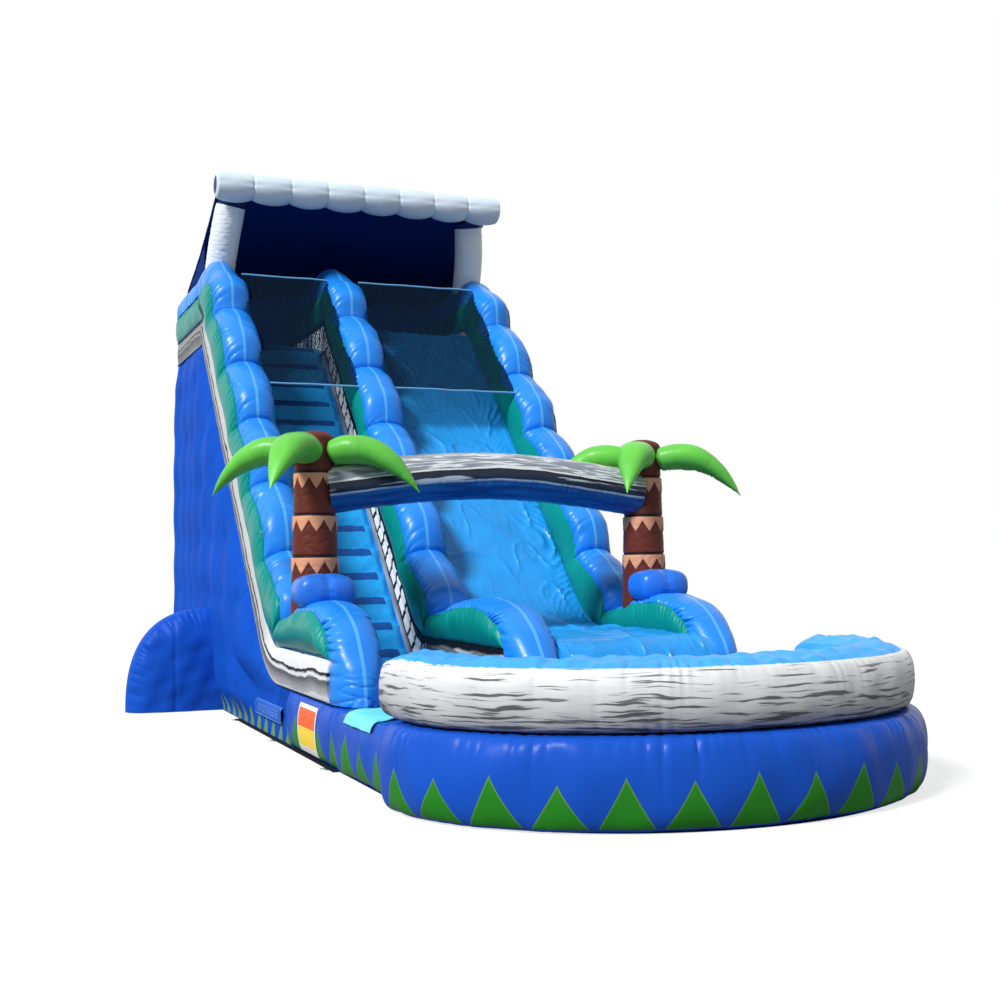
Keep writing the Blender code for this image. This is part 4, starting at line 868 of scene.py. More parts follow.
def make_cap(name, centre, hump_front, node, seed, back_end=TOWER_BACK):
    """One cap as rings over the seat line, with its stripe coordinate across the top."""
    crest, seat, s, gap, swell = rail_profile(hump_front)
    angle = np.linspace(0, math.pi, CAP_COLUMNS)
    across = np.cos(angle)
    rise = np.sin(angle) ** 0.92
    half = (RAIL_HALF if abs(centre) > 1 else DIVIDER_HALF) + EDGE_SWELL
    depth = np.linalg.norm(crest - seat, axis=1)
    aside = np.minimum(angle, math.pi - angle)[None, :] * (half + depth[:, None]) / 2
    on_hump = ease(s, s[-1] - 1.9, s[-1] - 1.5)[:, None]
    slanted = s[:, None] + SLANT * aside
    valley = puckers(slanted, aside, PUCKER_PITCH, PUCKER_REACH, seed)
    other = puckers(slanted, aside, PUCKER_PITCH, PUCKER_REACH, seed + 40)
    side = np.where(across[None, :] < 0, valley, other)
    gap_all = gap[:, None] + 0 * aside
    cross = puckers(half * angle[None, :] * 1.3 + 0 * aside, gap_all, 0.055, 0.06, seed + 9)
    groove = np.exp(-(gap_all / 0.010) ** 2)
    foot = np.exp(-((crest[:, 1:] - FOOT_TOP) / 0.22) ** 2) * on_hump
    wrinkle = creases(s[:, None] + 0.15 * aside, across[None, :] * 0.07 + 0 * aside, 0.10,
                      seed + 5, 4)
    fat = 1 + 0.035 * swell[:, None]
    dent = ((PUCKER_DEPTH + 0.006 * on_hump) * side + 0.007 * cross + 0.010 * groove
            + 0.016 * foot * wrinkle - 0.004 * smooth_noise(s[:, None], aside, 0.35, seed + 3))
    x = centre + across[None, :] * (half * fat - dent)
    up_y = crest[:, :1] - seat[:, :1]
    up_z = crest[:, 1:] - seat[:, 1:]
    height = rise[None, :] * (1 - dent / np.maximum(depth[:, None], 0.08))
    y = seat[:, :1] + up_y * height
    z = seat[:, 1:] + up_z * height
    points = np.stack([x, np.minimum(y, back_end), z], -1)
    v = across * 0 + (angle - math.pi / 2) * (half + CAP_HEIGHT) / 2
    uv = np.stack(np.broadcast_arrays(s[:, None], np.r_[v, v[0]][None, :]), -1)
    return add_solid(name, points, uv, cap_blue, node)


for side, sign in SIDES.items():
    make_cap(f"{side}_rail_cap", sign * RAIL_CENTRE, HUMP_FRONT, "rail_cap_" + side, 10 + sign)
make_cap("divider_rail_cap", DIVIDER_CENTRE, DIVIDER_FRONT, "divider_cap", 30,
         TOWER_BACK - BACK_WALL / 2)

# %% [markdown]
# Below each cap come two bands of the same rail: the coloured side and the marbled strip. Both are
# slabs between an upper and a lower edge, as thick as the rail. The lower end of each row is found
# by going square down from the slope, and the move along y fades out where the edges run level.

# %% Bands of the rails
def slab(centre, half, sign, low, high, outer, inner):
    """A closed band: rows from low to high edge on the outer face, and back on the inner one."""
    steps = outer.shape[1]
    share = np.linspace(0, 1, steps)[None, :, None]
    edge = low[:, None, :] + (high - low)[:, None, :] * share
    out = np.concatenate([(centre + sign * (half + outer))[..., None], edge], 2)
    back = np.concatenate([(centre - sign * (half + inner))[..., None], edge], 2)
    return there_and_back(out, back)


def slab_uv(u, v, steps):
    """The same UV map on both faces of a slab: u along and v across."""
    row = np.broadcast_to(v, (len(u), steps))
    v = ring_closed(there_and_back(row, row))
    return np.stack([np.broadcast_to(u[:, None], v.shape), v], -1)


def foot_of(points, line, level, fade_low, fade_high):
    """The points of a lower edge that lie square below the points of an upper edge."""
    y, z = points.T
    move = np.clip(level_of(y, z) - level, 0, 1) * SIN * ease(y, fade_low, fade_high)
    below = y + move
    return np.stack([below, height_on(line, below)], 1)


def make_side(name, centre, half, sign, hump_front, rock, level, node, seed):
    """The coloured side under a cap, with the cap's puckers running on into its top."""
    crest, seat, s, gap, swell = rail_profile(hump_front)
    low = foot_of(seat, rock, level, -0.9, -0.2)
    keep = seat[:, 1] > low[:, 1] + 0.012
    seat, low, s, gap, swell = seat[keep], low[keep], s[keep], gap[keep], swell[keep]
    steps = 22
    share = np.linspace(0, 1, steps)[None, :]
    tall = np.linalg.norm(seat - low, axis=1)[:, None]
    away = tall * (1 - share)
    platform = ease(seat[:, :1], 2.9, 3.3)
    fat = ((half + EDGE_SWELL) * 0.035 * swell[:, None] + EDGE_SWELL) * (1 - 0.7 * platform)
    round_side = np.sin(math.pi * share) ** 0.8 * np.minimum(tall / 0.25, 1)
    belly = (0.045 - 0.025 * platform) * round_side
    extra = OUTER_BELLY * (abs(centre) > 1) * (1 - platform) * ease(share, 0, 0.45)
    extra = extra * (0.45 + 0.55 * (1 - share)) + 0 * belly
    flat = s[:, None] + 0 * away
    slanted = flat - SLANT * away
    waves = 0.003 * smooth_noise(flat, away, 0.5, seed + 5)
    reach = 0.55 * PUCKER_REACH
    left = -PUCKER_DEPTH * puckers(slanted, away, PUCKER_PITCH, reach, seed) + waves
    right_face = -PUCKER_DEPTH * puckers(slanted, away, PUCKER_PITCH, reach, seed + 40) + waves
    tuck = -0.014 * np.exp(-(tall * share / 0.02) ** 2)
    faces = [fat * ease(share, 0, 0.8) + belly + tuck + part for part in (left, right_face)]
    outer, inner = faces if sign < 0 else faces[::-1]
    outer = outer + extra
    points = slab(centre, half, sign, low, seat, outer, inner)
    return add_solid(name, points, slab_uv(s, tall * (1 - share), steps), teal, node)


def make_rock_band(side, sign):
    """The marbled strip between the royal wall and the coloured side."""
    seat_front = rail_profile(HUMP_FRONT)[1][-1, 0]
    rock = spaced(edge_line(ROCK_LEVEL, ROCK_TOP, FOOT_ROCK_TOP, seat_front, 0.6), 0.02)
    floor = edge_line(WALL_LEVEL, WALL_TOP, FOOT_TOP, seat_front, 1.0)
    low = foot_of(rock, floor, WALL_LEVEL, -0.95, -0.30)
    steps = 18
    share = np.linspace(0, 1, steps)[None, :]
    u = length_along(rock)
    flat = u[:, None] + 0 * share
    tall = np.linalg.norm(rock - low, axis=1)[:, None]
    platform = ease(rock[:, :1], 2.9, 3.3)
    belly = (0.034 - 0.022 * platform) * np.sin(math.pi * share) ** 0.7
    belly = belly + 0.022 * (1 - platform)
    wrinkle = 0.003 * creases(flat * 0.45, tall * share, 0.25, 71 + sign, 4)
    dent = 0.007 * puckers(flat, tall * (1 - share), 0.13, 0.06, 75 + sign)
    outer = belly + wrinkle - dent - 0.008
    points = slab(sign * RAIL_CENTRE, RAIL_HALF, sign, low, rock, outer, outer)
    add_solid(f"{side}_marbled_band", points, slab_uv(u, 1 - share, steps), marble,
              "rail_rock_" + side)
    return rock


for side, sign in SIDES.items():
    rock_edge = make_rock_band(side, sign)
    make_side(f"{side}_rail_side", sign * RAIL_CENTRE, RAIL_HALF, sign, HUMP_FRONT, rock_edge,
              ROCK_LEVEL, "rail_side_" + side, 10 + sign)

# %% [markdown]
# The divider has the same cap and coloured side, but its marbled core goes down to the ground
# sheet between the lanes. A course of stones is printed along its upper edge.

# %% Divider
DIVIDER_LEVEL = 1.03
DIVIDER_FOOT = 0.875


def make_divider():
    """The divider's core as a slab with a vertical face, and its coloured side."""
    seat_front = rail_profile(DIVIDER_FRONT)[1][-1, 0]
    rock = spaced(edge_line(DIVIDER_LEVEL, ROCK_TOP, DIVIDER_FOOT, seat_front, 0.6), 0.025)
    inside = rock[:, 0] <= TOWER_BACK - BACK_WALL
    make_side("divider_rail_side", DIVIDER_CENTRE, DIVIDER_HALF, -1, DIVIDER_FRONT, rock,
              DIVIDER_LEVEL, "divider_side", 30)
    rock = rock[inside]
    ground = np.where(rock[:, 0] < PAD_FRONT, FOOT_TOP, GROUND)
    low = np.stack([rock[:, 0], np.maximum(ground, rock[:, 1] - 1.1)], 1)
    steps = 40
    share = np.linspace(0, 1, steps)[None, :]
    u = length_along(rock)
    drop = (rock - low)[:, 1:] * (1 - share)
    tilt = np.where(rock[:, :1] < -0.8, 1.0, COS) + 0 * drop
    v = drop * tilt
    flat = u[:, None] + 0 * v
    outer = (0.012 * np.exp(-((v - 0.07) / 0.06) ** 2)
             + 0.005 * creases(flat * 0.5, v, 0.14, 91) - 0.006
             - 0.010 * np.exp(-((v - 0.15) / 0.012) ** 2))
    points = slab(DIVIDER_CENTRE, DIVIDER_HALF, -1, low, rock, outer, outer)
    along = flat + drop * SIN * (rock[:, :1] >= -0.8)
    uv = closed_uv(there_and_back(along, along), there_and_back(v, v))
    add_solid("divider_core", points, uv, stone, "divider_rock")


make_divider()

# %% [markdown]
# The side walls are tall chambers with upright webs inside, which hold them to a row of shallow
# tubes. The whole wall also bellies outwards, most in the middle, and is drawn in at the ground.

# %% Side walls
PANEL_PITCH = 0.66
TIE_PITCH = 0.62
ZIP_MIDDLE = -0.35


def make_wall(side, sign):
    """One side wall: columns up the outer face and down the inner one, rows along y."""
    y = np.linspace(WALL_FRONT, TOWER_BACK, 360)
    top = height_on(edge_line(WALL_LEVEL, WALL_TOP, FOOT_TOP, WALL_FRONT, 1.0), y)
    low = np.stack([y, np.full_like(y, GROUND)], 1)
    high = np.stack([y, top], 1)
    steps = 72
    share = np.linspace(0, 1, steps)[None, :]
    z = GROUND + (top[:, None] - GROUND) * share
    big = 0.06 + 0.07 * ease(y, WALL_FRONT, 1.2) - 0.09 * ease(y, 2.6, 4.6)
    round_back = np.sqrt(np.clip(1 - ease(y, TOWER_BACK - 0.22, TOWER_BACK + 0.02) ** 2, 0, 1))
    belly = (big * round_back)[:, None] * np.sin(math.pi * share ** 0.9) ** 0.55
    phase = math.pi * (y - WALL_FRONT) / PANEL_PITCH
    tube = np.sin(phase) ** 2
    depth = np.minimum(0.034, 0.3 * z) * ease(top[:, None] - z, 0.02, 0.35)
    seam = np.exp(-(np.abs(np.sin(phase)) / 0.40) ** 2)
    ties = np.exp(-(np.sin(math.pi * z / TIE_PITCH) / 0.42) ** 2)
    quilt = (0.020 * seam[:, None] * ties - 0.010 * np.sin(math.pi * z / TIE_PITCH) ** 2)
    quilt = quilt * ease(z, 0.3, 0.7) * ease(top[:, None] - z, 0.1, 0.5)
    zipped = ease(np.maximum(np.abs(y[:, None] - ZIP_MIDDLE) - 0.56, (z - 0.34) * 1.2), 0.0, 0.45)
    along = y[:, None] + 0 * z
    run = y[:, None] * COS + z * SIN
    edge = (top[:, None] - z) * COS
    dent = 0.020 * puckers(run, edge, 0.14, 0.20, 51 + sign)
    ripple = 0.003 * smooth_noise(along, z * 0.6, 0.9, 55 + sign)
    fade = ease(z, 0.01, 0.30) * (zipped if sign < 0 else 1.0)
    outer = (belly + depth * tube[:, None] - quilt + ripple) * fade - dent - 0.004
    inner = 0 * outer
    points = slab(sign * RAIL_CENTRE, RAIL_HALF, sign, low, high, outer, inner)
    uv = closed_uv(there_and_back(along, along), there_and_back(z, z))
    add_solid(f"{side}_wall", points, uv, wall_royal, "side_wall_" + side)


for side, sign in SIDES.items():
    make_wall(side, sign)

# %% [markdown]
# The back wall is built like the side walls. Round its two fittings the fabric is held flat by
# their flanges, so the belly fades out there.

# %% Back wall
BACK_TUBES = 6
FITTINGS = ((0.85, 0.95, 0.10), (-0.75, 0.19, 0.20))


def two_sided(x, outer, inner):
    """Rows along x: up one face of (y, z) arrays and back down the other."""
    y = there_and_back(outer[0], inner[0])
    z = there_and_back(outer[1], inner[1])
    return np.stack([np.broadcast_to(x, y.shape), y, z], -1)


def make_back_wall():
    """The wall between the rails: tubes on both faces, flat round the fittings."""
    x = np.linspace(-RAIL_INNER, RAIL_INNER, 217)[:, None]
    z = np.linspace(GROUND, CREST_TOP - 0.004, 100)[None, :] + 0 * x
    phase = math.pi * (x + RAIL_INNER) / (2 * RAIL_INNER / BACK_TUBES)
    tube = np.abs(np.sin(phase)) ** 0.6
    ties = (1 - tube) * np.exp(-(np.sin(math.pi * z / TIE_PITCH) / 0.4) ** 2)
    ends = ease(z, 0.01, 0.35) * ease(CREST_TOP - z, 0.0, 0.30)
    held = 1.0
    for at_x, at_z, radius in FITTINGS:
        held = held * ease(np.hypot(x - at_x, z - at_z), radius, radius + 0.2)
    ripple = 0.006 * smooth_noise(x + 0 * z, z * 0.6, 0.3, 131)
    round_top = 0.12 * (1 - np.sqrt(np.clip(1 - ease(z, 4.95, 5.14) ** 2, 0, 1)))
    back = TOWER_BACK + (0.06 + 0.05 * tube - 0.02 * ties + ripple) * ends * held - round_top
    front = TOWER_BACK - BACK_WALL - 0.03 * tube * ends + round_top
    points = two_sided(x, (back, z), (front, z))
    add_solid("tower_back", points, plain_uv(points, True), royal, "back_wall")


make_back_wall()

# %% [markdown]
# The deck behind the lanes is a quilted mattress: channels run across it, and its top falls off
# towards its edges.

# %% Deck
DECK_THICKNESS = 0.40
CHANNEL_PITCH = 0.23


def make_deck():
    """The platform's mattress, with channels across it."""
    x = np.linspace(-RAIL_INNER, RAIL_INNER, 100)[:, None]
    y = np.linspace(DECK_FRONT + 0.002, TOWER_BACK - BACK_WALL - 0.004, 90)[None, :] + 0 * x
    channel = np.abs(np.sin(math.pi * (y - DECK_FRONT) / CHANNEL_PITCH)) ** 0.5
    top = WALL_TOP - 0.02 + 0.03 * channel + 0.004 * smooth_noise(x, y, 0.25, 141)
    edge = ease(y, DECK_FRONT, DECK_FRONT + 0.06) * ease(RAIL_INNER - np.abs(x), -0.01, 0.05)
    top = WALL_TOP - 0.10 + (top - WALL_TOP + 0.10) * edge
    points = two_sided(x, (y, top), (y, 0 * y + WALL_TOP - DECK_THICKNESS))
    add_solid("deck", points, plain_uv(points, True), lane_fabric, "platform_deck")


make_deck()

# %% [markdown]
# A lane is a profile in the side view, swept across the lane. Its surface is pushed square to the
# profile by creases and swells, and an underside closes it.

# %% Lane beds
UNDERSIDE_LEVEL = 0.20


def normals_of(line):
    """Unit vectors square to a line in (y, z), to its upper side, for a line that runs forward."""
    step = np.gradient(line, axis=0)
    step /= np.linalg.norm(step, axis=1)[:, None]
    return np.stack([step[:, 1], -step[:, 0]], 1)


def make_bed(name, profile, low, high, lift, uv_top, material, node):
    """A closed bed: across the lane at each point of the profile, and back along its underside."""
    columns = lift.shape[1]
    x = np.linspace(low, high, columns)
    normal = normals_of(profile)
    top_y = profile[:, :1] + normal[:, :1] * lift
    top_z = profile[:, 1:] + normal[:, 1:] * lift
    under = np.maximum((UNDERSIDE_LEVEL + profile[:, :1] * SIN) / COS, GROUND)
    under = np.minimum(under, top_z.min(1, keepdims=True))
    low_z = np.broadcast_to(under, top_z.shape)
    low_y = np.broadcast_to(profile[:, :1], top_y.shape)
    y = there_and_back(top_y, low_y)
    z = there_and_back(top_z, low_z)
    points = np.stack([np.broadcast_to(np.r_[x, x[::-1]], y.shape), y, z], -1)
    uv = ring_closed(there_and_back(uv_top, 0 * uv_top))
    return add_solid(name, points, uv, material, node)


# %% [markdown]
# The stairs have a rounded nose on each step, and the fabric between two noses bulges. The dark
# wear patch on each nose is a second layer, so it stands a few millimetres proud.

# %% Stairs
STEP_LEVEL = 0.66
STEP_COUNT = 15
STEP_NOSE = 0.05
STEP_RADII = (0.055, 0.018)
BULGE_LENGTH = 0.31
WEAR_START = 0.050
WEAR_LENGTH = 0.160


def make_stairs():
    """The stairs' profile with rounded noses; the wear patch is raised where v is over a half."""
    rise = (WALL_TOP - FOOT_TOP) / STEP_COUNT
    corners = [(DECK_FRONT - 0.002, WALL_TOP)]
    noses = []
    for step in range(STEP_COUNT, 0, -1):
        height = FOOT_TOP + rise * step
        nose = level_y(STEP_LEVEL, height)
        corners.append((nose, height))
        noses.append((nose, height))
        corners.append((level_y(STEP_LEVEL, height - rise) + STEP_NOSE, height - rise))
    corners.append((PAD_FRONT, FOOT_TOP))
    corners.append((PAD_FRONT, GROUND))
    profile = spaced(rounded(corners, STEP_RADII * STEP_COUNT + (0.05,), 8), 0.0145)
    s = length_along(profile)
    at = [s[np.argmin(np.hypot(*(profile - nose).T))] for nose in noses]
    past_nose = s[:, None] - np.array(at)[None, :]
    nearest = past_nose[np.arange(len(s)), np.abs(past_nose).argmin(1)][:, None]
    low, high = -RAIL_INNER + 0.002, DIVIDER_LEFT - 0.002
    middle = (low + high) / 2
    x = np.linspace(low, high, 54)[None, :] - middle
    share = np.clip((nearest + WEAR_START) / WEAR_LENGTH, 0, 1)
    wear = ease(1 - np.abs(2 * share - 1), 0, 0.35)
    down = np.clip((past_nose + 1e9 * (past_nose < 0)).min(1), 0, BULGE_LENGTH)[:, None]
    on_stairs = ease(-profile[:, :1], -3.1, -3.0) * ease(profile[:, :1], -2.6, -2.4)
    bulge = 0.022 * np.sin(math.pi * down / BULGE_LENGTH) * on_stairs
    flat = s[:, None] + 0 * x
    across = x + 0 * s[:, None]
    fold = 0.005 * creases(across * 0.8 + flat * 0.5, flat - across * 0.4, 0.22, 151)
    ripple = 0.002 * smooth_noise(across, flat, 0.12, 152)
    half = (high - low) / 2
    side = ease(half - np.abs(x), 0.0, 0.05)
    inside = ease(STEP_PATCH_HALF + 0.006 - np.abs(across), 0, 0.012)
    lift = (bulge + fold + ripple + 0.006 * wear * inside * on_stairs) * side - 0.012 * (1 - side)
    lift = lift * ease(profile[:, 1:], 0.0, 0.2)
    uv = np.stack([across, wear * on_stairs + 0 * across], -1)
    make_bed("stairs", profile, low, high, lift, uv, step_fabric, "stair_bed")


make_stairs()

# %% [markdown]
# The slide's bed is smooth. A loose liner lies on it, and its folds gather along the right rail.
# A cloth simulation could drape it, but folds worked out as formulas stay where the frame expects
# the sheet.

# %% Slide and liner
SLIDE_LEVEL = 1.05
RUNOUT_TOP = 0.93
LINER_THICKNESS = 0.006
LINER_MARGIN = 0.03
FOLD_PITCH = 0.13
GATHER_WIDTH = 0.50


def slide_surface(spacing):
    """The sliding surface: over the lip, down the slope, along the run-out, down to the pool."""
    lip = WALL_TOP + RAIL_HALF
    corners = [(DECK_FRONT - 0.002, WALL_TOP), (DECK_FRONT - RAIL_HALF, lip),
               (level_y(SLIDE_LEVEL, lip), lip), (level_y(SLIDE_LEVEL, RUNOUT_TOP), RUNOUT_TOP),
               (PAD_FRONT, RUNOUT_TOP), (PAD_FRONT, GROUND)]
    return spaced(rounded(corners, (0.06, 0.12, 0.8, 0.30), 24), spacing)


def make_slide():
    """The slide's bed, and the loose liner on it as a thin closed sheet with ridged folds."""
    low, high = DIVIDER_RIGHT + 0.002, RAIL_INNER - 0.002
    profile = slide_surface(0.03)
    x = np.linspace(low, high, 24)[None, :]
    lift = -0.006 + 0 * x + 0 * profile[:, :1]
    uv = np.stack(np.broadcast_arrays(profile[:, :1], x), -1)
    make_bed("slide_lane", profile, low, high, lift, uv, lane_fabric, "slide_bed")

    profile = slide_surface(0.022)
    profile = profile[(profile[:, 0] < DECK_FRONT - RAIL_HALF) & (profile[:, 1] > FOOT_TOP - 0.02)]
    left, right = low + LINER_MARGIN, high - LINER_MARGIN
    x = np.linspace(left, right, 90)
    s = length_along(profile)[:, None]
    normal = normals_of(profile)
    across = x[None, :] + 0 * s
    flat = s + 0 * across
    gather = ease(across, right - GATHER_WIDTH, right - 0.06) ** 1.5
    drift = 0.16 * smooth_noise(flat * 0.6, across, 0.9, 161)
    slope_turn = flat * 0.30 + across + drift
    folds = (1 - np.abs(np.sin(math.pi * slope_turn / FOLD_PITCH))) ** 1.6
    depth = 0.5 + 0.6 * smooth_noise(flat * 0.8, across * 0.8, 0.45, 162)
    loose = 0.032 * gather * folds * np.clip(depth, 0.15, 1)
    ridges = 0.022 * creases(flat * 0.40 + across * 0.6, across - flat * 0.20, 0.42, 163, 6)
    ridges = ridges * np.clip(0.5 + smooth_noise(flat, across, 0.6, 166), 0, 1)
    fine = 0.006 * creases(flat * 0.35 - across * 0.5, across + flat * 0.3, 0.20, 164, 5)
    swell = 0.004 * (1 + smooth_noise(flat, across, 0.4, 165))
    lift = 0.003 + loose + ridges + fine + swell
    edge = np.minimum(across - left, right - across)
    lift = 0.003 + (lift - 0.003) * ease(edge, 0, 0.03) * ease(s, 0, 0.1)
    upper = profile[:, None, :] + normal[:, None, :] * (lift + LINER_THICKNESS)[..., None]
    lower = profile[:, None, :] + normal[:, None, :] * lift[..., None]
    both = there_and_back(upper, lower)
    x_all = there_and_back(across, across)
    points = np.concatenate([x_all[..., None], both], 2)
    liner = add_solid("slide_cover", points, plain_uv(points, True), liner_fabric, "slide_liner")


make_slide()

# %% [markdown]
# The pool is two tubes on each other. Both follow a plan of inner and outer points, from the right
# leg round the front to the left one. The upper ring ends in two round noses. Both tubes are drawn
# in by puckers at the seam between them, and the lower one at the ground too.

# %% Pool tubes
POOL_BEND_START = -3.95
POOL_CENTRE = -4.45
BASE_HEIGHT = 0.57
BASE_OUTER = (HALF_WIDTH + 0.116, 1.42)
RING_OUTER = (HALF_WIDTH + 0.066, 1.36)
POOL_INNER = (HALF_WIDTH - 0.364, 1.00)
BASE_BULGE = 0.08
SIDE_BULGE = 0.06
RING_TOP = 1.00
RING_BULGE = 0.06
RING_CROWN = 0.05
RING_NOSE = 0.56
TUBE_COLUMNS = (40, 18, 12, 8)


def tube_section(width, low, high, bulge, crown):
    """(outward, height, v, away) across a tube; v is 0 to 1 down its outer side, and away is the
    distance from the outer side's upper edge."""
    round_part, top_part, inner_part, low_part = TUBE_COLUMNS
    angle = np.linspace(-math.pi / 2, math.pi / 2, round_part)[None, :]
    tall = high - low
    edge = width - 0.5 * bulge
    out = edge + 1.5 * bulge * np.cos(angle) ** 0.75
    up = low + tall * (1 + np.sin(angle)) / 2
    k = np.linspace(0, 1, top_part + 1)[None, 1:]
    top = high + crown * np.sin(math.pi * k) ** 0.7
    j = np.linspace(0, 1, inner_part + 1)[None, 1:]
    i = np.linspace(0, 1, low_part + 1)[None, 1:-1]
    zero = 0 * width
    d = np.concatenate([out, edge * (1 - k), zero + 0 * j - 0.04 * np.sin(math.pi * j),
                        edge * i], 1)
    z = np.concatenate([up, top, high - tall * j, low + zero + 0 * i], 1)
    v = np.concatenate([(0.5 - angle / math.pi) + zero, -k + zero, -1 - j + zero,
                        1.2 + i + zero], 1)
    away = np.concatenate([(0.5 - angle / math.pi) * tall * 1.1, k * edge, 1 + j + zero,
                           1 + i + zero], 1)
    return d, z, v, away


def plan_rows(inner, outer, d):
    """Plan points at distances d outward from the inner points."""
    toward = outer - inner
    toward = toward / np.linalg.norm(toward, axis=1)[:, None]
    return inner[:, None, :] + toward[:, None, :] * d[..., None]


def arc_rows(outer, count):
    """Inner and outer plan points round the pool's front, from the right to the left."""
    turn = np.linspace(0, math.pi, count)[:, None]
    around = np.concatenate([np.cos(turn), -np.sin(turn)], 1)
    centre = np.array([0, POOL_CENTRE])
    return centre + around * np.array(POOL_INNER), centre + around * np.array(outer)


def with_ends(right, arc):
    """Rows for the right end, the arc, and the right end mirrored for the left one."""
    mirrored = right[::-1].copy()
    if right.shape[1] == 2:
        mirrored[:, 0] *= -1
    return np.concatenate([right, arc, mirrored])


# %% [markdown]
# The lower tube starts as two straight legs beside the landing, and widens into the round front.
# A short stretch of the left leg has no puckers, because the patch lies flat there.

# %% Lower tube
def make_base_tube():
    """The lower tube: two straight legs beside the landing, which widen into the round front."""
    leg = np.r_[np.linspace(WALL_FRONT - 0.002, POOL_BEND_START, 110),
                np.linspace(POOL_BEND_START, POOL_CENTRE, 26)[1:-1]][:, None]
    blend = ease(-leg, -POOL_BEND_START, -POOL_CENTRE)
    inner_arc, outer_arc = arc_rows(BASE_OUTER, 360)
    inner_x = RAIL_INNER + 0.002 + (POOL_INNER[0] - RAIL_INNER - 0.002) * blend
    outer_x = HALF_WIDTH + (BASE_OUTER[0] - HALF_WIDTH) * blend
    inner = with_ends(np.hstack([inner_x, leg]), inner_arc)
    outer = with_ends(np.hstack([outer_x, leg]), outer_arc)
    full = np.ones((360, 1))
    high = with_ends(FOOT_TOP + (BASE_HEIGHT - FOOT_TOP) * blend, full * BASE_HEIGHT)
    bulge = with_ends(SIDE_BULGE + (BASE_BULGE - SIDE_BULGE) * blend, full * BASE_BULGE)
    width = np.linalg.norm(outer - inner, axis=1)[:, None]
    d, z, v, away = tube_section(width, GROUND, high - 0.012, bulge, 0.012)
    u = length_along(outer)[:, None]
    along = u + 0 * d
    foot = np.maximum(high * 1.1 - away, 0) + 9.0 * (v < 0) + 9.0 * (v > 1.1)
    dent = (0.030 * puckers(along, away, 0.095, 0.15, 171)
            + 0.012 * puckers(along, foot, 0.16, 0.10, 173)
            - 0.005 * smooth_noise(along, away, 0.35, 175) * (v > 0) * (v < 1))
    patch = ease(np.abs(along - (u[-1] - 0.71)), 0.30, 0.38)
    d = d - dent * (v < 1.1) * (v > -0.4) * patch
    z = z - 0.35 * dent * (v < 0) * patch
    plan = plan_rows(inner, outer, d)
    points = np.concatenate([plan, z[..., None]], 2)
    height = np.where(v > 1.1, 0.9, z)
    uv = closed_uv(along, height)
    add_solid("pool_lower_tube", points, uv, tube_royal, "pool_base_tube")


make_base_tube()

# %% [markdown]
# The printed ring lies on the lower tube. Towards each of its noses the section shrinks like a
# circle's width does, so the nose comes out round.

# %% Upper ring
def make_ring():
    """The printed upper ring. Towards each nose its width and height shrink like a circle's."""
    along = np.linspace(1, 0, 40)[:-1, None]
    size = np.sqrt(np.clip(1 - along ** 4, 0, 1))
    inner_arc, outer_arc = arc_rows(RING_OUTER, 340)
    middle = (POOL_INNER[0] + RING_OUTER[0]) / 2
    half = (RING_OUTER[0] - POOL_INNER[0]) / 2 * np.maximum(size, 0.02)
    y = POOL_CENTRE + RING_NOSE * along
    inner = with_ends(np.hstack([middle - half, y]), inner_arc)
    outer = with_ends(np.hstack([middle + half, y]), outer_arc)
    shrink = with_ends(size, np.ones((340, 1)))
    low = BASE_HEIGHT + 0.002 + 0.12 * (1 - shrink)
    high = low + (RING_TOP - RING_CROWN - BASE_HEIGHT) * np.maximum(shrink, 0.02)
    width = np.linalg.norm(outer - inner, axis=1)[:, None]
    d, z, v, away = tube_section(width, low, high, RING_BULGE * shrink, RING_CROWN * shrink)
    u = length_along(outer)[:, None]
    flat = u + 0 * d
    foot = np.maximum((high - low) * 1.1 - away, 0) + 9.0 * (v < 0) + 9.0 * (v > 1.1)
    dent = (0.020 * puckers(flat, np.abs(away), 0.085, 0.10, 181)
            + 0.018 * puckers(flat, foot, 0.11, 0.10, 183)
            - 0.004 * smooth_noise(flat, away, 0.3, 185)) * shrink
    d = d - dent * (v < 1.1) * (v > 0)
    z = z - 1.2 * dent * (v <= 0) * (v > -1) + 0.007 * shrink * (v < 0) * (v > -1) * smooth_noise(
        flat, away, 0.16, 187)
    plan = plan_rows(inner, outer, d)
    points = np.concatenate([plan, z[..., None]], 2)
    uv = closed_uv(flat, v)
    add_solid("pool_upper_ring", points, uv, ring_fabric, "pool_ring")


make_ring()

# %% [markdown]
# The padded floor fills the room inside the tubes: it is as wide at each place as they leave
# it.

# %% Pool floor
def make_pool_floor():
    """The padded floor inside the tubes: as wide at each place as the tubes leave it."""
    y = np.r_[np.linspace(PAD_FRONT - 0.004, POOL_CENTRE, 60),
              POOL_CENTRE - POOL_INNER[1] * np.sin(np.linspace(0, math.pi / 2, 60)[1:])][:, None]
    bend = np.clip((POOL_CENTRE - y) / POOL_INNER[1], 0, 1)
    half = (RAIL_INNER - 0.004 - 0.014 * ease(-y, 3.95, 4.45)) * np.sqrt(1 - bend ** 2)
    share = np.linspace(-1, 1, 80)[None, :]
    x = half * share
    quilt = np.abs(np.sin(math.pi * (x + 0.1) / 0.40)) ** 0.5
    top = 0.085 + 0.035 * quilt * ease(half - np.abs(x), -0.01, 0.06)
    y_all = y + 0 * x
    points = np.stack([there_and_back(x, x), there_and_back(y_all, y_all),
                       there_and_back(top, 0 * top + GROUND)], -1)
    add_surface("pool_pad", points, plain_uv(points, True), sky_fabric, True, "start",
                ["pool_floor"])


make_pool_floor()

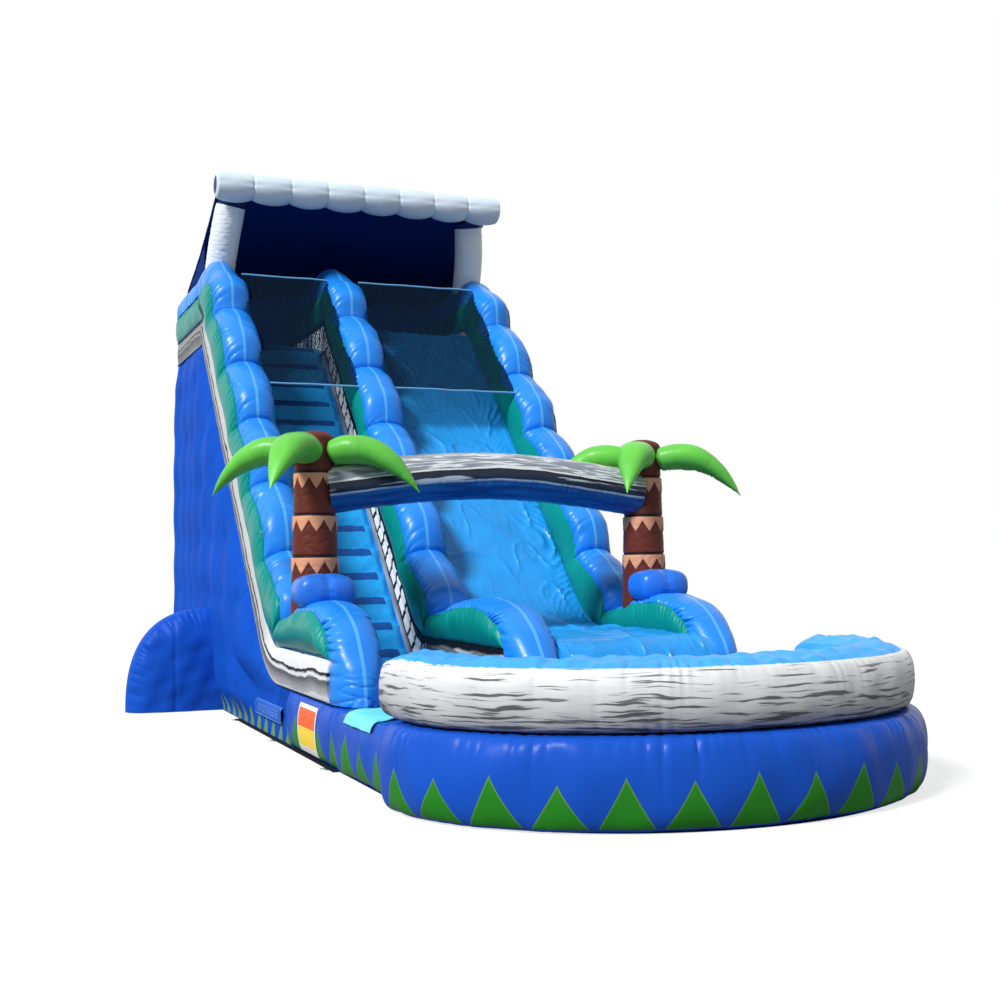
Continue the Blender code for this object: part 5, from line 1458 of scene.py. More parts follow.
# %% [markdown]
# Two thin things lie on the left leg of the lower tube: the mat over which bathers step in, and a
# plain patch in two colours. Both follow the tube's section at a small distance from it.

# %% Mat and patch
MAT_FRONT = -3.72
MAT_BACK = -3.04
PATCH_FRONT = -2.26
PATCH_BACK = -1.68
MAT_COLUMNS = (29, 62)
PATCH_COLUMNS = (7, 32)
SKIN_SPACING = 0.012


def leg_skin(y, start, end, lift, thickness, wave=0.0, seed=0):
    """A thin closed sheet on the left leg's section, from one column of it to another."""
    one = np.full((1, 1), RAIL_WIDTH - 0.002)
    d, z, v, away = tube_section(one, GROUND, one * 0 + FOOT_TOP - 0.012, one * 0 + SIDE_BULGE,
                                 0.012)
    line = spaced(np.stack([d[0, start:end], z[0, start:end]], 1), SKIN_SPACING)
    normal = normals_of(line)
    rows = y[:, None]
    s = np.arange(len(line))[None, :] * SKIN_SPACING
    offset = lift + wave * (1 + smooth_noise(rows + 0 * s, s + 0 * rows, 0.2, seed))
    faces = []
    for extra in (thickness, 0.0):
        out = line[:, 0] + normal[:, 0] * (offset + extra)
        up = line[:, 1] + normal[:, 1] * (offset + extra)
        faces.append(np.stack([-(RAIL_INNER + 0.002 + out), rows + 0 * out, up], -1))
    points = there_and_back(faces[0], faces[1])
    return points, closed_uv(points[..., 1], points[..., 2]), float(s[0, -1])


rows = np.linspace(MAT_FRONT, MAT_BACK, 60)
points, uv, reach = leg_skin(rows, *MAT_COLUMNS, 0.005, 0.006, 0.006, 191)
mat = add_solid("entry_cover", points, uv, mat_fabric, "entry_mat")
rows = np.linspace(PATCH_FRONT, PATCH_BACK, 50)
points, uv, reach = leg_skin(rows, *PATCH_COLUMNS, 0.003, 0.003)
add_solid("side_patch", points, uv, patch_fabric, "plain_patch")


# %% [markdown]
# The ground sheet lies under everything, and its front is round under the pool.

# %% Ground sheet
SHEET_TOP = 0.0045
SHEET_FOOT = 0.0005


def make_ground_sheet():
    """The sheet under everything, with a round front under the pool."""
    y = np.r_[np.linspace(TOWER_BACK, POOL_CENTRE, 60),
              POOL_CENTRE - BASE_OUTER[1] * np.sin(np.linspace(0, math.pi / 2, 30)[1:])][:, None]
    bend = np.clip((POOL_CENTRE - y) / BASE_OUTER[1], 0, 1)
    x = HALF_WIDTH * np.sqrt(1 - bend ** 2) * np.linspace(-1, 1, 24)[None, :]
    y_all = y + 0 * x
    points = np.stack([there_and_back(x, x), there_and_back(y_all, y_all),
                       there_and_back(0 * x + SHEET_TOP, 0 * x + SHEET_FOOT)], -1)
    piece = add_surface("ground_cloth", points, plain_uv(points, True), navy_fabric, True, "start",
                        ["ground_sheet"])


make_ground_sheet()

# %% [markdown]
# Round tubes follow a curve. Each ring of points is square to the curve, and its radius may change
# with the place along the curve and the angle round it.

# %% Round tubes
def tube_points(centres, radius, columns, up=(0, 0, 1)):
    """Rings round a curve. Angle 0 is the upper side, and it grows towards the curve's right."""
    centres = np.array(centres, float)
    ahead = np.gradient(centres, axis=0)
    ahead /= np.linalg.norm(ahead, axis=1)[:, None]
    side = np.cross(ahead, np.array(up, float))
    side /= np.linalg.norm(side, axis=1)[:, None]
    over = np.cross(side, ahead)
    angle = full_turn(columns)
    radius = np.broadcast_to(radius, (len(centres), columns))
    reach_up = (radius * np.cos(angle))[..., None]
    reach_side = (radius * np.sin(angle))[..., None]
    return centres[:, None, :] + over[:, None, :] * reach_up + side[:, None, :] * reach_side


def tube_uv(centres, columns):
    """u along the curve in metres, and v from 0 on the upper side to 1 on the lower one."""
    u = length_along(centres)
    v = 1 - np.abs(1 - np.arange(columns + 1) * 2 / columns)
    return np.stack(np.broadcast_arrays(u[:, None], v[None, :]), -1)


def add_tube(name, centres, radius, columns, material, node=None, up=(0, 0, 1)):
    """A closed piece round a curve."""
    points = tube_points(centres, radius, columns, up)
    return add_solid(name, points, tube_uv(centres, columns), material, node)


# %% [markdown]
# The canopy is a bolster of eight swellings on two posts, with a roof of fabric stretched from it
# to the tower's back. The bolster comes first, because the roof and the posts meet it.

# %% Bolster
BOLSTER_Y = 2.60
BOLSTER_HEIGHT = 5.93
BOLSTER_RADIUS = 0.165
BOLSTER_HALF_LENGTH = HALF_WIDTH - 0.024
BOLSTER_LOBES = 8
POST_RADIUS = 0.175
POST_FOOT = (RAIL_CENTRE - 0.03, 3.28, CREST_TOP - 0.09)
POST_HEAD = (RAIL_CENTRE - 0.12, 2.95, BOLSTER_HEIGHT - 0.06)
POST_LENGTH = 0.95
POST_COLUMNS = 48
POST_CLEARANCE = 0.022
ROOF_BACK = 4.92
ROOF_HALF_WIDTH = HALF_WIDTH - 0.154
ROOF_SAG = 0.10


def make_bolster():
    """Lobes along x, deeper below than above, with puckers at each neck and rounded ends."""
    count, columns = 440, 56
    x = BOLSTER_HALF_LENGTH * np.sin(math.pi / 2 * np.linspace(-1, 1, count))
    centres = np.stack([x, 0 * x + BOLSTER_Y, 0 * x + BOLSTER_HEIGHT], 1)
    share = (x + BOLSTER_HALF_LENGTH) / (2 * BOLSTER_HALF_LENGTH)
    swell = np.abs(np.sin(math.pi * BOLSTER_LOBES * share))[:, None] ** 0.7
    angle = full_turn(columns)
    below = (1 - np.cos(angle)) / 2
    end = np.minimum(share, 1 - share)[:, None] * 2 * BOLSTER_HALF_LENGTH
    closing = np.sqrt(np.clip(1 - (1 - np.clip(end / 0.035, 0, 1)) ** 2, 0.0004, 1))
    pitch = 2 * BOLSTER_HALF_LENGTH / BOLSTER_LOBES
    gap = np.abs((share[:, None] * BOLSTER_LOBES + 0.5) % 1 - 0.5) * pitch
    dent = puckers(angle * BOLSTER_RADIUS + 0 * gap, gap + 0 * angle, 0.05, 0.09, 201)
    seam = np.exp(-(gap / 0.010) ** 2)
    radius = (BOLSTER_RADIUS * (1 + 0.05 * below - (0.03 + 0.26 * below) * (1 - swell))
              - 0.011 * dent
              - 0.006 * seam) * closing + 0.002
    add_tube("bolster", centres, radius, columns, bolster_fabric, "canopy_bolster")


make_bolster()

# %% [markdown]
# The roof hangs between the bolster and the tower's back like a parabola. Folds run into it from
# the posts.

# %% Roof
def roof_height(y):
    """The roof's height at a place along y: a straight line less a parabola's sag."""
    start, end = BOLSTER_Y + BOLSTER_RADIUS, ROOF_BACK
    share = np.clip((y - start) / (end - start), 0, 1)
    straight = BOLSTER_HEIGHT + (CREST_TOP - 0.004 - BOLSTER_HEIGHT) * share
    return straight - ROOF_SAG * 4 * share * (1 - share) * 0.75


def make_roof():
    """A thin sheet that sags between its ends and has folds running from the posts."""
    y = np.linspace(BOLSTER_Y + 0.13, ROOF_BACK + 0.02, 80)[:, None]
    half = ROOF_HALF_WIDTH + 0.07
    x = np.linspace(-half, half, 96)[None, :]
    free = ease(ROOF_BACK - 0.05 - y, 0, 0.3)
    z = roof_height(y) + 0.008 * free * creases(x * 1.0 + y, y * 0.4 - x * 0.3, 0.5, 211)
    z = z + 0.004 * free * smooth_noise(x + 0 * y, y + 0 * x, 0.4, 212)
    over_rail = ease(np.abs(x), RAIL_INNER - 0.08, RAIL_INNER + 0.02)
    z = z - 0.085 * over_rail * ease(y, ROOF_BACK - 0.12, ROOF_BACK)
    y_all, x_all = y + 0 * x, x + 0 * y
    upper = np.stack([x_all, y_all, z + 0.004], -1)
    lower = np.stack([x_all, y_all, z], -1)
    points = there_and_back(upper, lower)
    roof = add_solid("roof_sheet", points, plain_uv(points, True), navy_fabric, "canopy_roof")


make_roof()

# %% [markdown]
# The posts lean forward under the roof, which their heads are cut to fit. Netting closes the
# canopy's sides.

# %% Posts and screens
def make_posts():
    """Two leaning tubes, each slightly bowed and creased, with a head that lies under the roof."""
    for side, sign in SIDES.items():
        share = np.linspace(0, 1, 120)[:, None]
        foot = np.array(POST_FOOT) * (sign, 1, 1)
        head = np.array(POST_HEAD) * (sign, 1, 1)
        bow = np.sin(math.pi * share) * np.array([0.015 * sign, -0.03, 0])
        centres = foot + (head - foot) * share + bow
        angle = full_turn(POST_COLUMNS)
        along = share * POST_LENGTH + 0 * angle
        left = POST_LENGTH * (1 - share) + 0 * angle
        arc = angle * POST_RADIUS + 0 * along
        dent = (0.007 * creases(along * 1.6, angle * POST_RADIUS * 0.5, 0.12, 221 + sign, 7)
                + 0.012 * puckers(arc, left, 0.07, 0.12, 223)
                + 0.012 * puckers(arc, along, 0.07, 0.22, 225))
        radius = POST_RADIUS - dent
        points = tube_points(centres, radius, POST_COLUMNS, (0, 1, 0))
        under_roof = roof_height(points[..., 1]) - POST_CLEARANCE
        points[..., 2] = np.minimum(points[..., 2], under_roof)
        add_solid(f"{side}_post", points, tube_uv(centres, POST_COLUMNS), white_fabric,
                  "canopy_post_" + side)


def make_canopy_nets():
    """The netting between each post, the rail's top and the roof, as a thin closed sheet."""
    for side, sign in SIDES.items():
        y = np.linspace(3.66, ROOF_BACK - 0.03, 60)[:, None]
        low = CREST_TOP + 0.085 * ease(-y, -4.1, -3.7)
        high = roof_height(y) - 0.004
        share = np.linspace(0, 1, 30)[None, :]
        z = low + (np.maximum(high, low + 0.002) - low) * share
        bulge = 0.012 * np.sin(math.pi * share) + 0.004 * smooth_noise(y, z, 0.2, 231)
        x = sign * (RAIL_CENTRE + 0.07 + bulge) + 0 * y
        y_all = y + 0 * share
        points = there_and_back(np.stack([x, y_all, z], -1),
                                np.stack([x + sign * 0.003, y_all, z], -1))
        net = add_solid(f"{side}_canopy_screen", points, plain_uv(points, True), screen_fabric,
                        "canopy_net_" + side)


make_posts()
make_canopy_nets()

# %% [markdown]
# The palms stand on the rails' saddles. A trunk tapers upwards and has three collars with hanging
# points, which are printed and stand a few millimetres proud.

# %% Palm trunks
PALM_Y = -1.35
TRUNK_TOP = 2.66
TRUNK_BOTTOM = 1.06
TRUNK_TOP_RADIUS = 0.175
TRUNK_FOOT_RADIUS = 0.225


def collar_edge(angle):
    """How far a collar hangs below its line: a zigzag round the trunk with rounded corners."""
    turn = angle * COLLAR_POINTS / (2 * math.pi)
    return COLLAR_BAND + COLLAR_DROP * (1 - 2 * np.abs(turn % 1 - 0.5)) ** 0.9


def make_trunk(side, sign):
    """A turned trunk. Its radius grows downwards, steps out at each collar, and closes on top."""
    z = np.r_[np.linspace(TRUNK_BOTTOM, TRUNK_TOP, 210),
              TRUNK_TOP + 0.07 * np.sin(np.linspace(0, math.pi / 2, 14)[1:])]
    angle = full_turn(108)
    share = np.clip((TRUNK_TOP - z) / (TRUNK_TOP - TRUNK_BOTTOM), 0, 1)
    radius = 0.95 * (TRUNK_TOP_RADIUS + (TRUNK_FOOT_RADIUS - TRUNK_TOP_RADIUS) * share)
    crown = np.clip((z - TRUNK_TOP) / 0.07, 0, 1)
    radius = (radius * np.sqrt(np.clip(1 - 0.9 * crown ** 2, 0, 1)))[:, None] + 0 * angle
    z_all = z[:, None] + 0 * angle
    for height in COLLAR_HEIGHTS:
        below = height - z_all
        band = ease(below, -0.004, 0.004) * ease(collar_edge(angle) - below, -0.003, 0.006)
        radius = radius + 0.007 * band
        radius = radius - 0.008 * np.exp(-((below + 0.012) / 0.010) ** 2)
    around = angle * 0.2 + 0 * z_all
    rough = ease(z_all, 2.42, 2.50)
    radius = (radius - 0.006 * puckers(around, z_all - TRUNK_BOTTOM, 0.06, 0.25, 241 + sign)
              + 0.007 * rough * creases(around, z_all * 0.6, 0.05, 243 + sign, 4)
              - 0.004 * creases(around, z_all * 1.8, 0.20, 245 + sign, 6) * (1 - rough))
    points = np.stack([sign * RAIL_CENTRE + radius * np.cos(angle),
                       PALM_Y + radius * np.sin(angle), z_all], -1)
    u = np.linspace(0, COLLAR_POINTS, angle.size + 1)[None, :] + 0 * z[:, None]
    uv = np.stack([u, ring_closed(z_all)], -1)
    add_solid(f"{side}_palm_trunk", points, uv, trunk_fabric, "palm_trunk_" + side)


# %% [markdown]
# Each frond is a blunt-rooted, pointed tube that arches over and hangs, with wrinkles along its
# lower edge. Its girth at nine places is read off the photo.

# %% Fronds
FROND_ROOT_HEIGHT = 2.53
FROND_ROOT_RADIUS = 0.15
FROND_REACH = 0.93
FROND_RISE = 0.08
FROND_DROP = 0.38
FROND_AZIMUTHS = {"left": 150, "front": 233, "right": -30, "back": 62}
FROND_COLUMNS = 48
FROND_GIRTHS = (0.92, 1.06, 1.12, 1.10, 1.03, 0.88, 0.66, 0.38, 0.03)


def make_frond(side, sign, place, azimuth, seed):
    """A frond along an arching line; its girth swells, then falls to a point."""
    turn = math.radians(azimuth)
    out = np.array([math.cos(turn), math.sin(turn), 0])
    share = np.linspace(0, 1, 110)
    start = TRUNK_TOP_RADIUS * 0.75
    rise = FROND_RISE * np.sin(math.pi * share * 0.9) - FROND_DROP * share ** 2.4
    root = np.array([sign * RAIL_CENTRE, PALM_Y, FROND_ROOT_HEIGHT])
    centres = (root + out * (start + (FROND_REACH - start) * share)[:, None]
               + np.array([0, 0, 1]) * rise[:, None])
    girth = np.interp(share, np.linspace(0, 1, len(FROND_GIRTHS)), FROND_GIRTHS)
    girth = np.convolve(np.pad(girth, 6, "edge"), np.ones(13) / 13, "valid")
    girth = girth * np.sqrt(np.clip(np.minimum((1 - share) * 14, 0.3 + share * 14), 0.0002, 1))
    angle = full_turn(FROND_COLUMNS)
    along = share[:, None] * 0.95 + 0 * angle
    radius = FROND_ROOT_RADIUS * girth[:, None] * (1 + 0 * angle)
    low = np.abs(math.pi - angle) * radius
    keel = 1 + 0.10 * np.exp(-((angle - math.pi) / 0.5) ** 2)
    shape = np.sqrt(np.cos(angle) ** 2 * 0.72 ** 2 + np.sin(angle) ** 2)
    ridge = np.minimum(np.abs(angle - math.pi / 2), np.abs(angle - 3 * math.pi / 2)) * radius
    dent = (0.012 * puckers(along, low, 0.06, 0.06, seed)
            + 0.003 * puckers(along, ridge, 0.08, 0.03, seed + 1)
            + 0.002 * smooth_noise(along * 2, angle * radius, 0.5, seed + 2))
    dent = dent * np.minimum(girth[:, None] * 1.5, 1)
    radius = radius * shape * keel - dent
    add_tube(f"{side}_palm_{place}_frond", centres, radius, FROND_COLUMNS, leaf_fabric,
             f"palm_frond_{side}_{place}")


for side, sign in SIDES.items():
    make_trunk(side, sign)
    for number, (place, azimuth) in enumerate(FROND_AZIMUTHS.items()):
        make_frond(side, sign, place, azimuth, 260 + 10 * number + sign)

# %% [markdown]
# The arch between the palms is one bent tube, with lengthwise creases near its ends.

# %% Arch
ARCH_RADIUS = 0.19
ARCH_HEIGHT = 2.20
ARCH_RISE = 0.16
ARCH_LENGTH = 3.2
ARCH_COLUMNS = 64


def make_arch():
    """A tube along a half sine wave, with lengthwise creases near its ends."""
    share = np.linspace(0, 1, 260)
    reach = RAIL_CENTRE - 0.08
    centres = np.stack([reach * (2 * share - 1), 0 * share + PALM_Y,
                        ARCH_HEIGHT + ARCH_RISE * np.sin(math.pi * (share * 0.94 + 0.03))], 1)
    angle = full_turn(ARCH_COLUMNS)
    along = share[:, None] * ARCH_LENGTH + 0 * angle
    arc = angle * ARCH_RADIUS + 0 * along
    end = np.minimum(share, 1 - share)[:, None] * ARCH_LENGTH + 0 * angle
    line = np.abs(np.abs(math.pi - angle) - 0.36 * math.pi) * ARCH_RADIUS
    radius = (ARCH_RADIUS + 0.024 - 0.016 * puckers(arc, end, 0.07, 0.22, 301)
              - 0.006 * puckers(along, line, 0.09, 0.05, 303)
              + 0.004 * creases(along * 0.5, arc, 0.16, 305, 5) - 0.002)
    add_tube("arch", centres, radius, ARCH_COLUMNS, arch_fabric, "arch_tube")


make_arch()

# %% [markdown]
# The wings beside the tower are quarter rounds. Their points lie on rays from the inner lower
# corner, and their thickness falls off like a circle's edge. Short puckers run all along the
# rounded seam.

# %% Wings
BUTTRESS_REACH = 1.016
BUTTRESS_HEIGHT = 1.12
BUTTRESS_FRONT = 1.96
BUTTRESS_THICKNESS = 0.46


def make_wing(side, sign):
    """One quarter-round wing: rays from its corner, out on the front face and back on the rear."""
    turn = np.linspace(0, math.pi / 2, 130)[:, None]
    r = np.linspace(0.001, 1, 46)[None, :]
    edge_out = (BUTTRESS_REACH - 0.015) * np.cos(turn).clip(0) ** 0.7
    edge_up = (BUTTRESS_HEIGHT - 0.015) * np.sin(turn).clip(0) ** 0.8
    half = BUTTRESS_THICKNESS / 2
    thick = half * np.sqrt(np.clip(1 - r ** 5, 0, 1))
    arc = turn * 1.15 + 0 * r
    away = (1 - r) * np.hypot(edge_out, edge_up)
    faces = []
    for face, seed in ((-1, 311), (1, 321)):
        dent = (0.030 * puckers(arc, away, 0.085, 0.12, seed + sign)
                + 0.005 * smooth_noise(r * edge_out, r * edge_up, 0.3, seed + 3))
        seam = 0.010 * np.exp(-((r * edge_out - 0.50) / 0.02) ** 2)
        y = BUTTRESS_FRONT + half + face * (thick - (dent + seam) * ease(thick, 0.0, 0.08))
        x = sign * (HALF_WIDTH + 0.002 + r * edge_out)
        z = 0.002 + r * edge_up + 0 * x
        faces.append(np.stack([x, y + 0 * x, z], -1))
    points = there_and_back(faces[0], faces[1])
    add_solid(f"{side}_wing", points, plain_uv(points, True), royal, "buttress_" + side)


for side, sign in SIDES.items():
    make_wing(side, sign)

# %% [markdown]
# The pillows at the palms' feet start as drawn shapes: rings of a rounded rectangle that shrink
# towards the top and the bottom, and give way to the trunk behind them.

# %% Pillows
PILLOW_SIZE = (0.51, 0.40, 0.29)
PILLOW_FORWARD = 0.29
PILLOW_HEIGHT_AT = 1.34
PILLOW_POWER = 0.45


def drawn_pillow(sign):
    """A crowned pillow round the front of a trunk: superellipse rings that shrink up and down."""
    up = np.linspace(-math.pi / 2, math.pi / 2, 50)[:, None]
    turn = full_turn(96)
    ring = np.abs(np.cos(up)) ** 0.35
    c = np.sign(np.cos(turn)) * np.abs(np.cos(turn)) ** PILLOW_POWER
    s = np.sign(np.sin(turn)) * np.abs(np.sin(turn)) ** PILLOW_POWER
    wide, deep, tall = (size / 2 for size in PILLOW_SIZE)
    pinch = 1 - 0.05 * np.exp(-(c * ring / 0.10) ** 2) * (s < 0)
    x = wide * ring * c
    y = deep * ring * s * pinch
    z = tall * np.sign(up) * np.abs(np.sin(up)) ** 0.8 + 0 * turn
    z = z * (1 - 0.05 * np.exp(-(x / (0.10 * wide)) ** 2) - 0.12 * (np.abs(x) / wide) ** 3)
    x = sign * RAIL_CENTRE + x
    y = PALM_Y - PILLOW_FORWARD + 0.02 + y
    gap = np.hypot(x - sign * RAIL_CENTRE, y - PALM_Y)
    push = np.clip(0.232 - gap, 0, 0.2) * (y < PALM_Y + 0.1)
    return np.stack([x, y - push, PILLOW_HEIGHT_AT + z], -1)


# %% [markdown]
# The pillows are blown up by a short cloth simulation. The drawn pillow is remeshed into even
# cells, air pressure works on it for a few frames without gravity, and no point may move further
# than a cap from where it started.

# %% Blowing the pillows up
PILLOW_CAP = 0.012
PILLOW_CELL = 0.006
PILLOW_PRESSURE = 4.0
PILLOW_FRAMES = 15


def inflate(piece):
    """Remesh, blow up for some frames, cap the movement, and keep the result as the mesh."""
    scene = bpy.context.scene
    remesh = piece.modifiers.new("cells", "REMESH")
    remesh.mode = "VOXEL"
    remesh.voxel_size = PILLOW_CELL
    apply_modifiers(piece)
    start = vertex_array(piece.data)
    cloth = piece.modifiers.new("cloth", "CLOTH")
    cloth.settings.use_pressure = True
    cloth.settings.uniform_pressure_force = PILLOW_PRESSURE
    cloth.settings.effector_weights.gravity = 0.0
    cloth.settings.quality = 5
    for frame_number in range(1, PILLOW_FRAMES + 1):
        scene.frame_set(frame_number)
    apply_modifiers(piece)
    scene.frame_set(1)
    end = vertex_array(piece.data)
    move = end - start
    length = np.linalg.norm(move, axis=1)[:, None]
    end = start + move * np.minimum(1, PILLOW_CAP / np.maximum(length, 1e-9))
    piece.data.vertices.foreach_set("co", end.ravel())
    piece.data.update()


def apply_modifiers(piece):
    """Replace a piece's mesh by what its modifiers make of it."""
    depsgraph = bpy.context.evaluated_depsgraph_get()
    mesh = bpy.data.meshes.new_from_object(piece.evaluated_get(depsgraph))
    piece.modifiers.clear()
    piece.data = mesh


def vertex_array(mesh):
    """The points of a mesh as rows."""
    points = np.empty(len(mesh.vertices) * 3)
    mesh.vertices.foreach_get("co", points)
    return points.reshape(-1, 3)


for side, sign in SIDES.items():
    points = drawn_pillow(sign)
    pillow = add_solid(f"{side}_pillow", points, plain_uv(points, True), pillow_blue,
                       "foot_pillow_" + side)
    inflate(pillow)
    pillow.data.shade_smooth()

# %% [markdown]
# The nets over the lanes are real mesh: thin flat strands in two directions, which sag a little
# and wave. Each strand is a narrow ribbon with a thickness. A cord edges each net at both ends.

# %% Lane nets
NET_LEVEL = 1.45
NET_TOP_RUN = 5.42
NET_FOOT_RUN = 3.44
NET_PITCH = 0.020
STRAND_WIDTH = 0.0068
STRAND_THICKNESS = 0.003
CORD_RADIUS = 0.011


def net_surface(u, v, seed):
    """(y, z) of the net at a place across and a share up: the slope's line with a slight sag."""
    run = NET_FOOT_RUN + (NET_TOP_RUN - NET_FOOT_RUN) * v
    level = NET_LEVEL + 0.004 - 0.030 * np.sin(math.pi * v)
    level = level + 0.003 * smooth_noise(u * 1.2, run, 0.6, seed)
    return slope_point(run, level)


def make_net(name, low, high, node, seed):
    """Strands across and along, as boxes in chains: four points per station, joined in a row."""
    length = NET_TOP_RUN - NET_FOOT_RUN
    verts, faces = [], []

    def strand(u, v, side_u, side_v):
        """Add one ribbon: four corners at each station, and a face at both ends."""
        rows = len(u)
        corners = []
        for a, b in ((-1, 0), (1, 0), (1, 1), (-1, 1)):
            uu = u + a * side_u * STRAND_WIDTH / 2
            vv = v + a * side_v * STRAND_WIDTH / 2 / length
            y, z = net_surface(uu, np.clip(vv, 0, 1), seed)
            corners.append(np.stack([uu, y - b * STRAND_THICKNESS * SIN + SHIFT,
                                     z + b * STRAND_THICKNESS * COS], 1))
        base = sum(len(part) for part in verts)
        verts.append(np.stack(corners, 1).reshape(-1, 3))
        index = base + np.arange(rows * 4).reshape(rows, 4)
        faces.extend(quads_of(ring_closed(index)))
        faces.append(index[0][::-1].tolist())
        faces.append(index[-1].tolist())

    half = STRAND_WIDTH / 2
    across = np.linspace(low + half, high - half, int((high - low) / NET_PITCH))
    for u in across:
        v = np.linspace(0, 1, 46)
        strand(np.full_like(v, u), v, 1, 0)
    for v in np.linspace(half / length, 1 - half / length, int(length / NET_PITCH)):
        u = np.linspace(low, high, 34)
        strand(u, np.full_like(u, v), 0, 1)
    mesh = bpy.data.meshes.new(name)
    mesh.from_pydata(np.vstack(verts).tolist(), [], faces)
    mesh.uv_layers.new(name="UVMap")
    net = finish_piece(name, mesh, net_fabric, True, [node], BODY, 40)
    for place, v in (("upper", 1.0), ("lower", 0.0)):
        u = np.linspace(low, high, 60)
        y, z = net_surface(u, np.full_like(u, v), seed)
        centres = np.stack([u, y, z + 0.004], 1)
        add_tube(f"{name}_{place}_edge", centres, CORD_RADIUS, 10, edge_fabric)


make_net("stair_netting", -RAIL_INNER + 0.002, DIVIDER_LEFT - 0.002, "stair_net", 341)
make_net("slide_netting", DIVIDER_RIGHT + 0.002, RAIL_INNER - 0.002, "slide_net", 343)

# %% [markdown]
# Piping covers the seam between wall and rail. It is a thin tube along an edge of the side view.

# %% Piping
PIPING_FRONT = -2.45
PIPING_RADIUS = 0.008


def make_piping(name, line, x, radius, material, seed):
    """A thin piped seam that follows a line of the side view."""
    line = spaced(line, 0.03)
    wave = 0.002 * smooth_noise(line[:, 0], line[:, 1], 0.3, seed)
    centres = np.column_stack([np.full(len(line), x) + wave, line])
    add_tube(name, centres, radius, 8, material, up=(1, 0, 0))


for side, sign in SIDES.items():
    face = sign * (HALF_WIDTH + 0.004)
    floor = edge_line(WALL_LEVEL, WALL_TOP, FOOT_TOP, PIPING_FRONT, 1.0)
    make_piping(f"{side}_wall_piping", floor, face, PIPING_RADIUS, piping_fabric, 351)
    rock = edge_line(ROCK_LEVEL, ROCK_TOP, FOOT_ROCK_TOP, PIPING_FRONT, 0.6)
    make_piping(f"{side}_rail_piping", rock, face, PIPING_RADIUS, piping_fabric, 353)


# %% [markdown]
# The flap covers the deflation zip. Its upper edge is sewn to the wall, and the rest hangs clear
# of the slider, because it swings on that edge.

# %% Zip's flap
ZIP_BACK = 0.16
ZIP_LENGTH = 1.02
FLAP_TOP = 0.30
FLAP_FOOT = 0.155
FLAP_MARGIN = 0.02
FLAP_STANDOFF = 0.024


def make_flap():
    """The zip's flap: it starts flat on the wall, then hangs clear of the slider."""
    z = np.linspace(FLAP_TOP, FLAP_FOOT, 30)[None, :]
    y = np.linspace(ZIP_BACK - ZIP_LENGTH - FLAP_MARGIN, ZIP_BACK + FLAP_MARGIN, 120)[:, None]
    out = FLAP_STANDOFF * ease(FLAP_TOP - z, 0.0, 0.035) - 0.003
    wave = 0.002 * (1 + smooth_noise(y, z * 2, 0.2, 361)) * ease(FLAP_TOP - z, 0.02, 0.1)
    x = -HALF_WIDTH - 0.002 - np.maximum(out - wave, 0.001) + 0 * y
    y_all, z_all = y + 0 * z, z + 0 * y
    points = there_and_back(np.stack([x - 0.0025, y_all, z_all], -1),
                            np.stack([x, y_all, z_all], -1))
    uv = closed_uv(points[..., 1], points[..., 2])
    flap = add_solid("zip_cover", points, uv, flap_fabric, "zip_flap",
                     body="zip_flap")


make_flap()

# %% [markdown]
# The blower is tied into this sleeve. It is open at its far end, so its rows run out along the
# outer skin and back along the inner one.

# %% Blower sleeve
SLEEVE_X = -0.75
SLEEVE_HEIGHT = 0.192
SLEEVE_RADIUS = 0.16
SLEEVE_LENGTH = 0.60


def make_sleeve():
    """The blower sleeve: a thin open tube of cloth that sags and wrinkles behind the wall."""
    share = np.linspace(0, 1, 70)
    out = np.r_[share, share[::-1][1:], share[0]]
    skin = np.r_[0 * share, 0 * share[1:] + 0.004, 0][:, None]
    angle = full_turn(72)
    along = out[:, None] * SLEEVE_LENGTH
    free = ease(along, 0.05, 0.35)
    dent = (0.012 * creases(along * 2 + 0 * angle, angle * 0.16, 0.16, 371, 5)
            + 0.014 * puckers(angle * SLEEVE_RADIUS + 0 * along, along + 0 * angle, 0.06, 0.16,
                              373))
    radius = SLEEVE_RADIUS - 0.004 - skin - dent * ease(along, 0.02, 0.08)
    y = TOWER_BACK + 0.002 + along + 0 * angle
    height = SLEEVE_HEIGHT - 0.010 * free
    points = np.stack([SLEEVE_X + radius * np.sin(angle), y, height + radius * np.cos(angle)], -1)
    sleeve = add_surface("blower_tube", points, plain_uv(points, True), royal, True, False,
                         ["blower_sleeve"])


make_sleeve()

# %% [markdown]
# Webbing, tape, rings and fittings keep the shapes that the frame gives them. Only their materials
# are set here.

# %% Materials of the kept nodes
KEPT = {"tower_web": webbing, "anchor_tape_left": webbing, "anchor_tape_right": webbing,
        "zip_tape": plastic, "zip_slider": steel, "water_inlet": inlet_metal,
        "water_valve_lever": plastic}
KEPT.update({f"anchor_ring_{side}_{k}": steel for side in SIDES for k in (1, 2, 3)})
for node, material in KEPT.items():
    mesh = frame["nodes"][node].data
    mesh.materials.clear()
    mesh.materials.append(material)

# %% [markdown]
# The slide stands on a plain pale floor. The floor glows a little for the camera only, so that it
# looks almost white without adding light of its own.

# %% Floor
FLOOR_SIZE = 120.0
FLOOR_GREY = 0.28
FLOOR_GLOW = 0.74
WHITE_LIGHT = (1, 1, 1, 1)


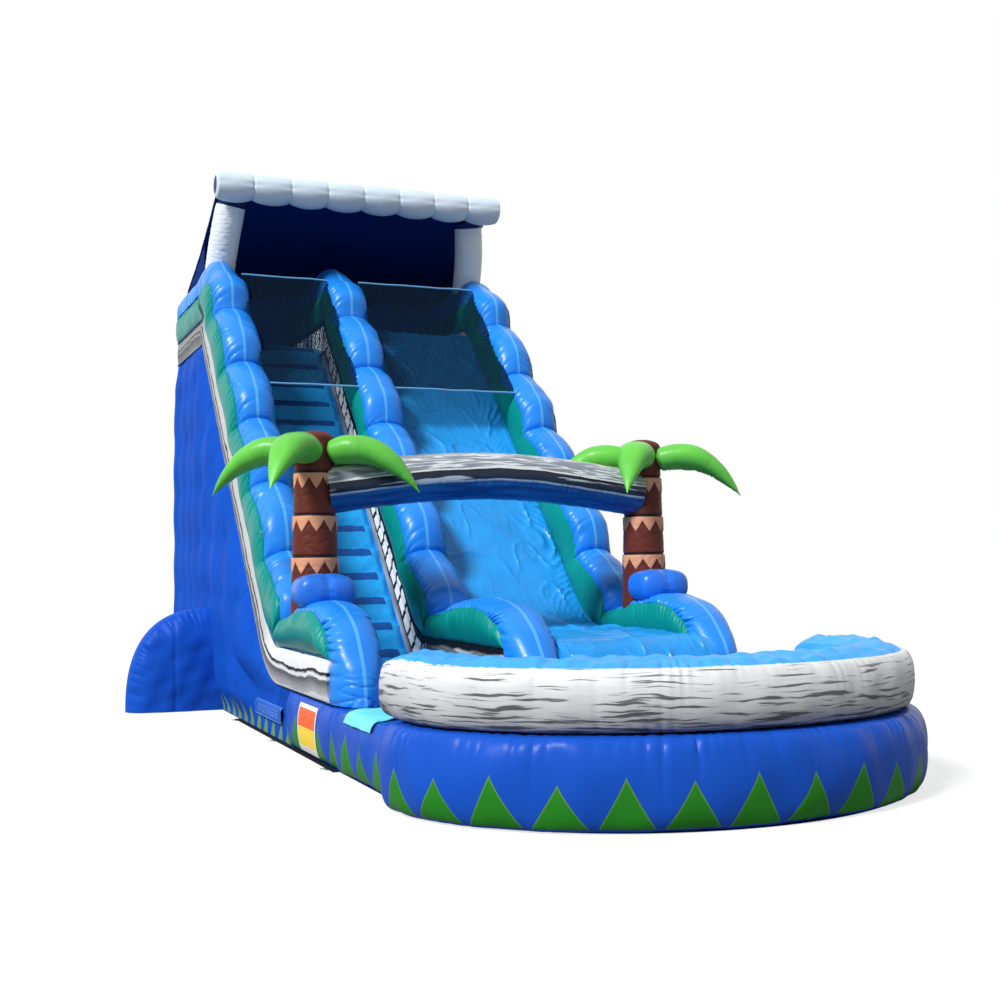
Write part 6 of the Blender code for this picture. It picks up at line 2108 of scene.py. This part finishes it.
def make_floor():
    """A large square just under the slide, with a dull finish."""
    half = FLOOR_SIZE / 2
    mesh = bpy.data.meshes.new("floor")
    mesh.from_pydata([(-half, -half, 0), (half, -half, 0), (half, half, 0), (-half, half, 0)],
                     [], [(0, 1, 2, 3)])
    floor = bpy.data.objects.new("floor", mesh)
    floor.location.z = -0.001
    bpy.context.scene.collection.objects.link(floor)
    paint = bpy.data.materials.new("floor_paint")
    paint.use_nodes = True
    tree = paint.node_tree
    shader = tree.nodes["Principled BSDF"]
    shader.inputs["Base Color"].default_value = (FLOOR_GREY, FLOOR_GREY, FLOOR_GREY, 1)
    shader.inputs["Roughness"].default_value = 0.9
    shader.inputs["Specular IOR Level"].default_value = 0.0
    shader.inputs["Emission Color"].default_value = WHITE_LIGHT
    seen = Number(tree, add_node(tree, "LightPath").outputs["Is Camera Ray"])
    tree.links.new((seen * FLOOR_GLOW).socket, shader.inputs["Emission Strength"])
    mesh.materials.append(paint)


make_floor()

# %% [markdown]
# The sky is white only for the camera, for reflections and through clear things. As a lamp it is
# weaker, and a soft sun from the upper left shapes the fabric.

# %% Sky and sun
SKY_LIGHT = 0.36
SUN_FROM = Vector((-0.65, -0.32, 0.69))
SUN_STRENGTH = 3.8
SUN_SPREAD = math.radians(14)


def make_sky():
    """The world's light, and the sun as a lamp."""
    world = bpy.data.worlds.new("studio")
    bpy.context.scene.world = world
    world.use_nodes = True
    tree = world.node_tree
    path = add_node(tree, "LightPath").outputs
    shown = Number(tree, path["Is Camera Ray"]).step("MAXIMUM", path["Is Glossy Ray"])
    shown = shown.step("MAXIMUM", path["Is Transmission Ray"])
    strength = shown * (1 - SKY_LIGHT) + SKY_LIGHT
    background = tree.nodes["Background"]
    background.inputs["Color"].default_value = WHITE_LIGHT
    tree.links.new(strength.socket, background.inputs["Strength"])

    sun = bpy.data.lights.new("sun", "SUN")
    sun.energy = SUN_STRENGTH
    sun.angle = SUN_SPREAD
    lamp = bpy.data.objects.new("sun", sun)
    lamp.rotation_euler = SUN_FROM.to_track_quat("Z", "Y").to_euler()
    bpy.context.scene.collection.objects.link(lamp)


make_sky()
print("sun strength:", SUN_STRENGTH)
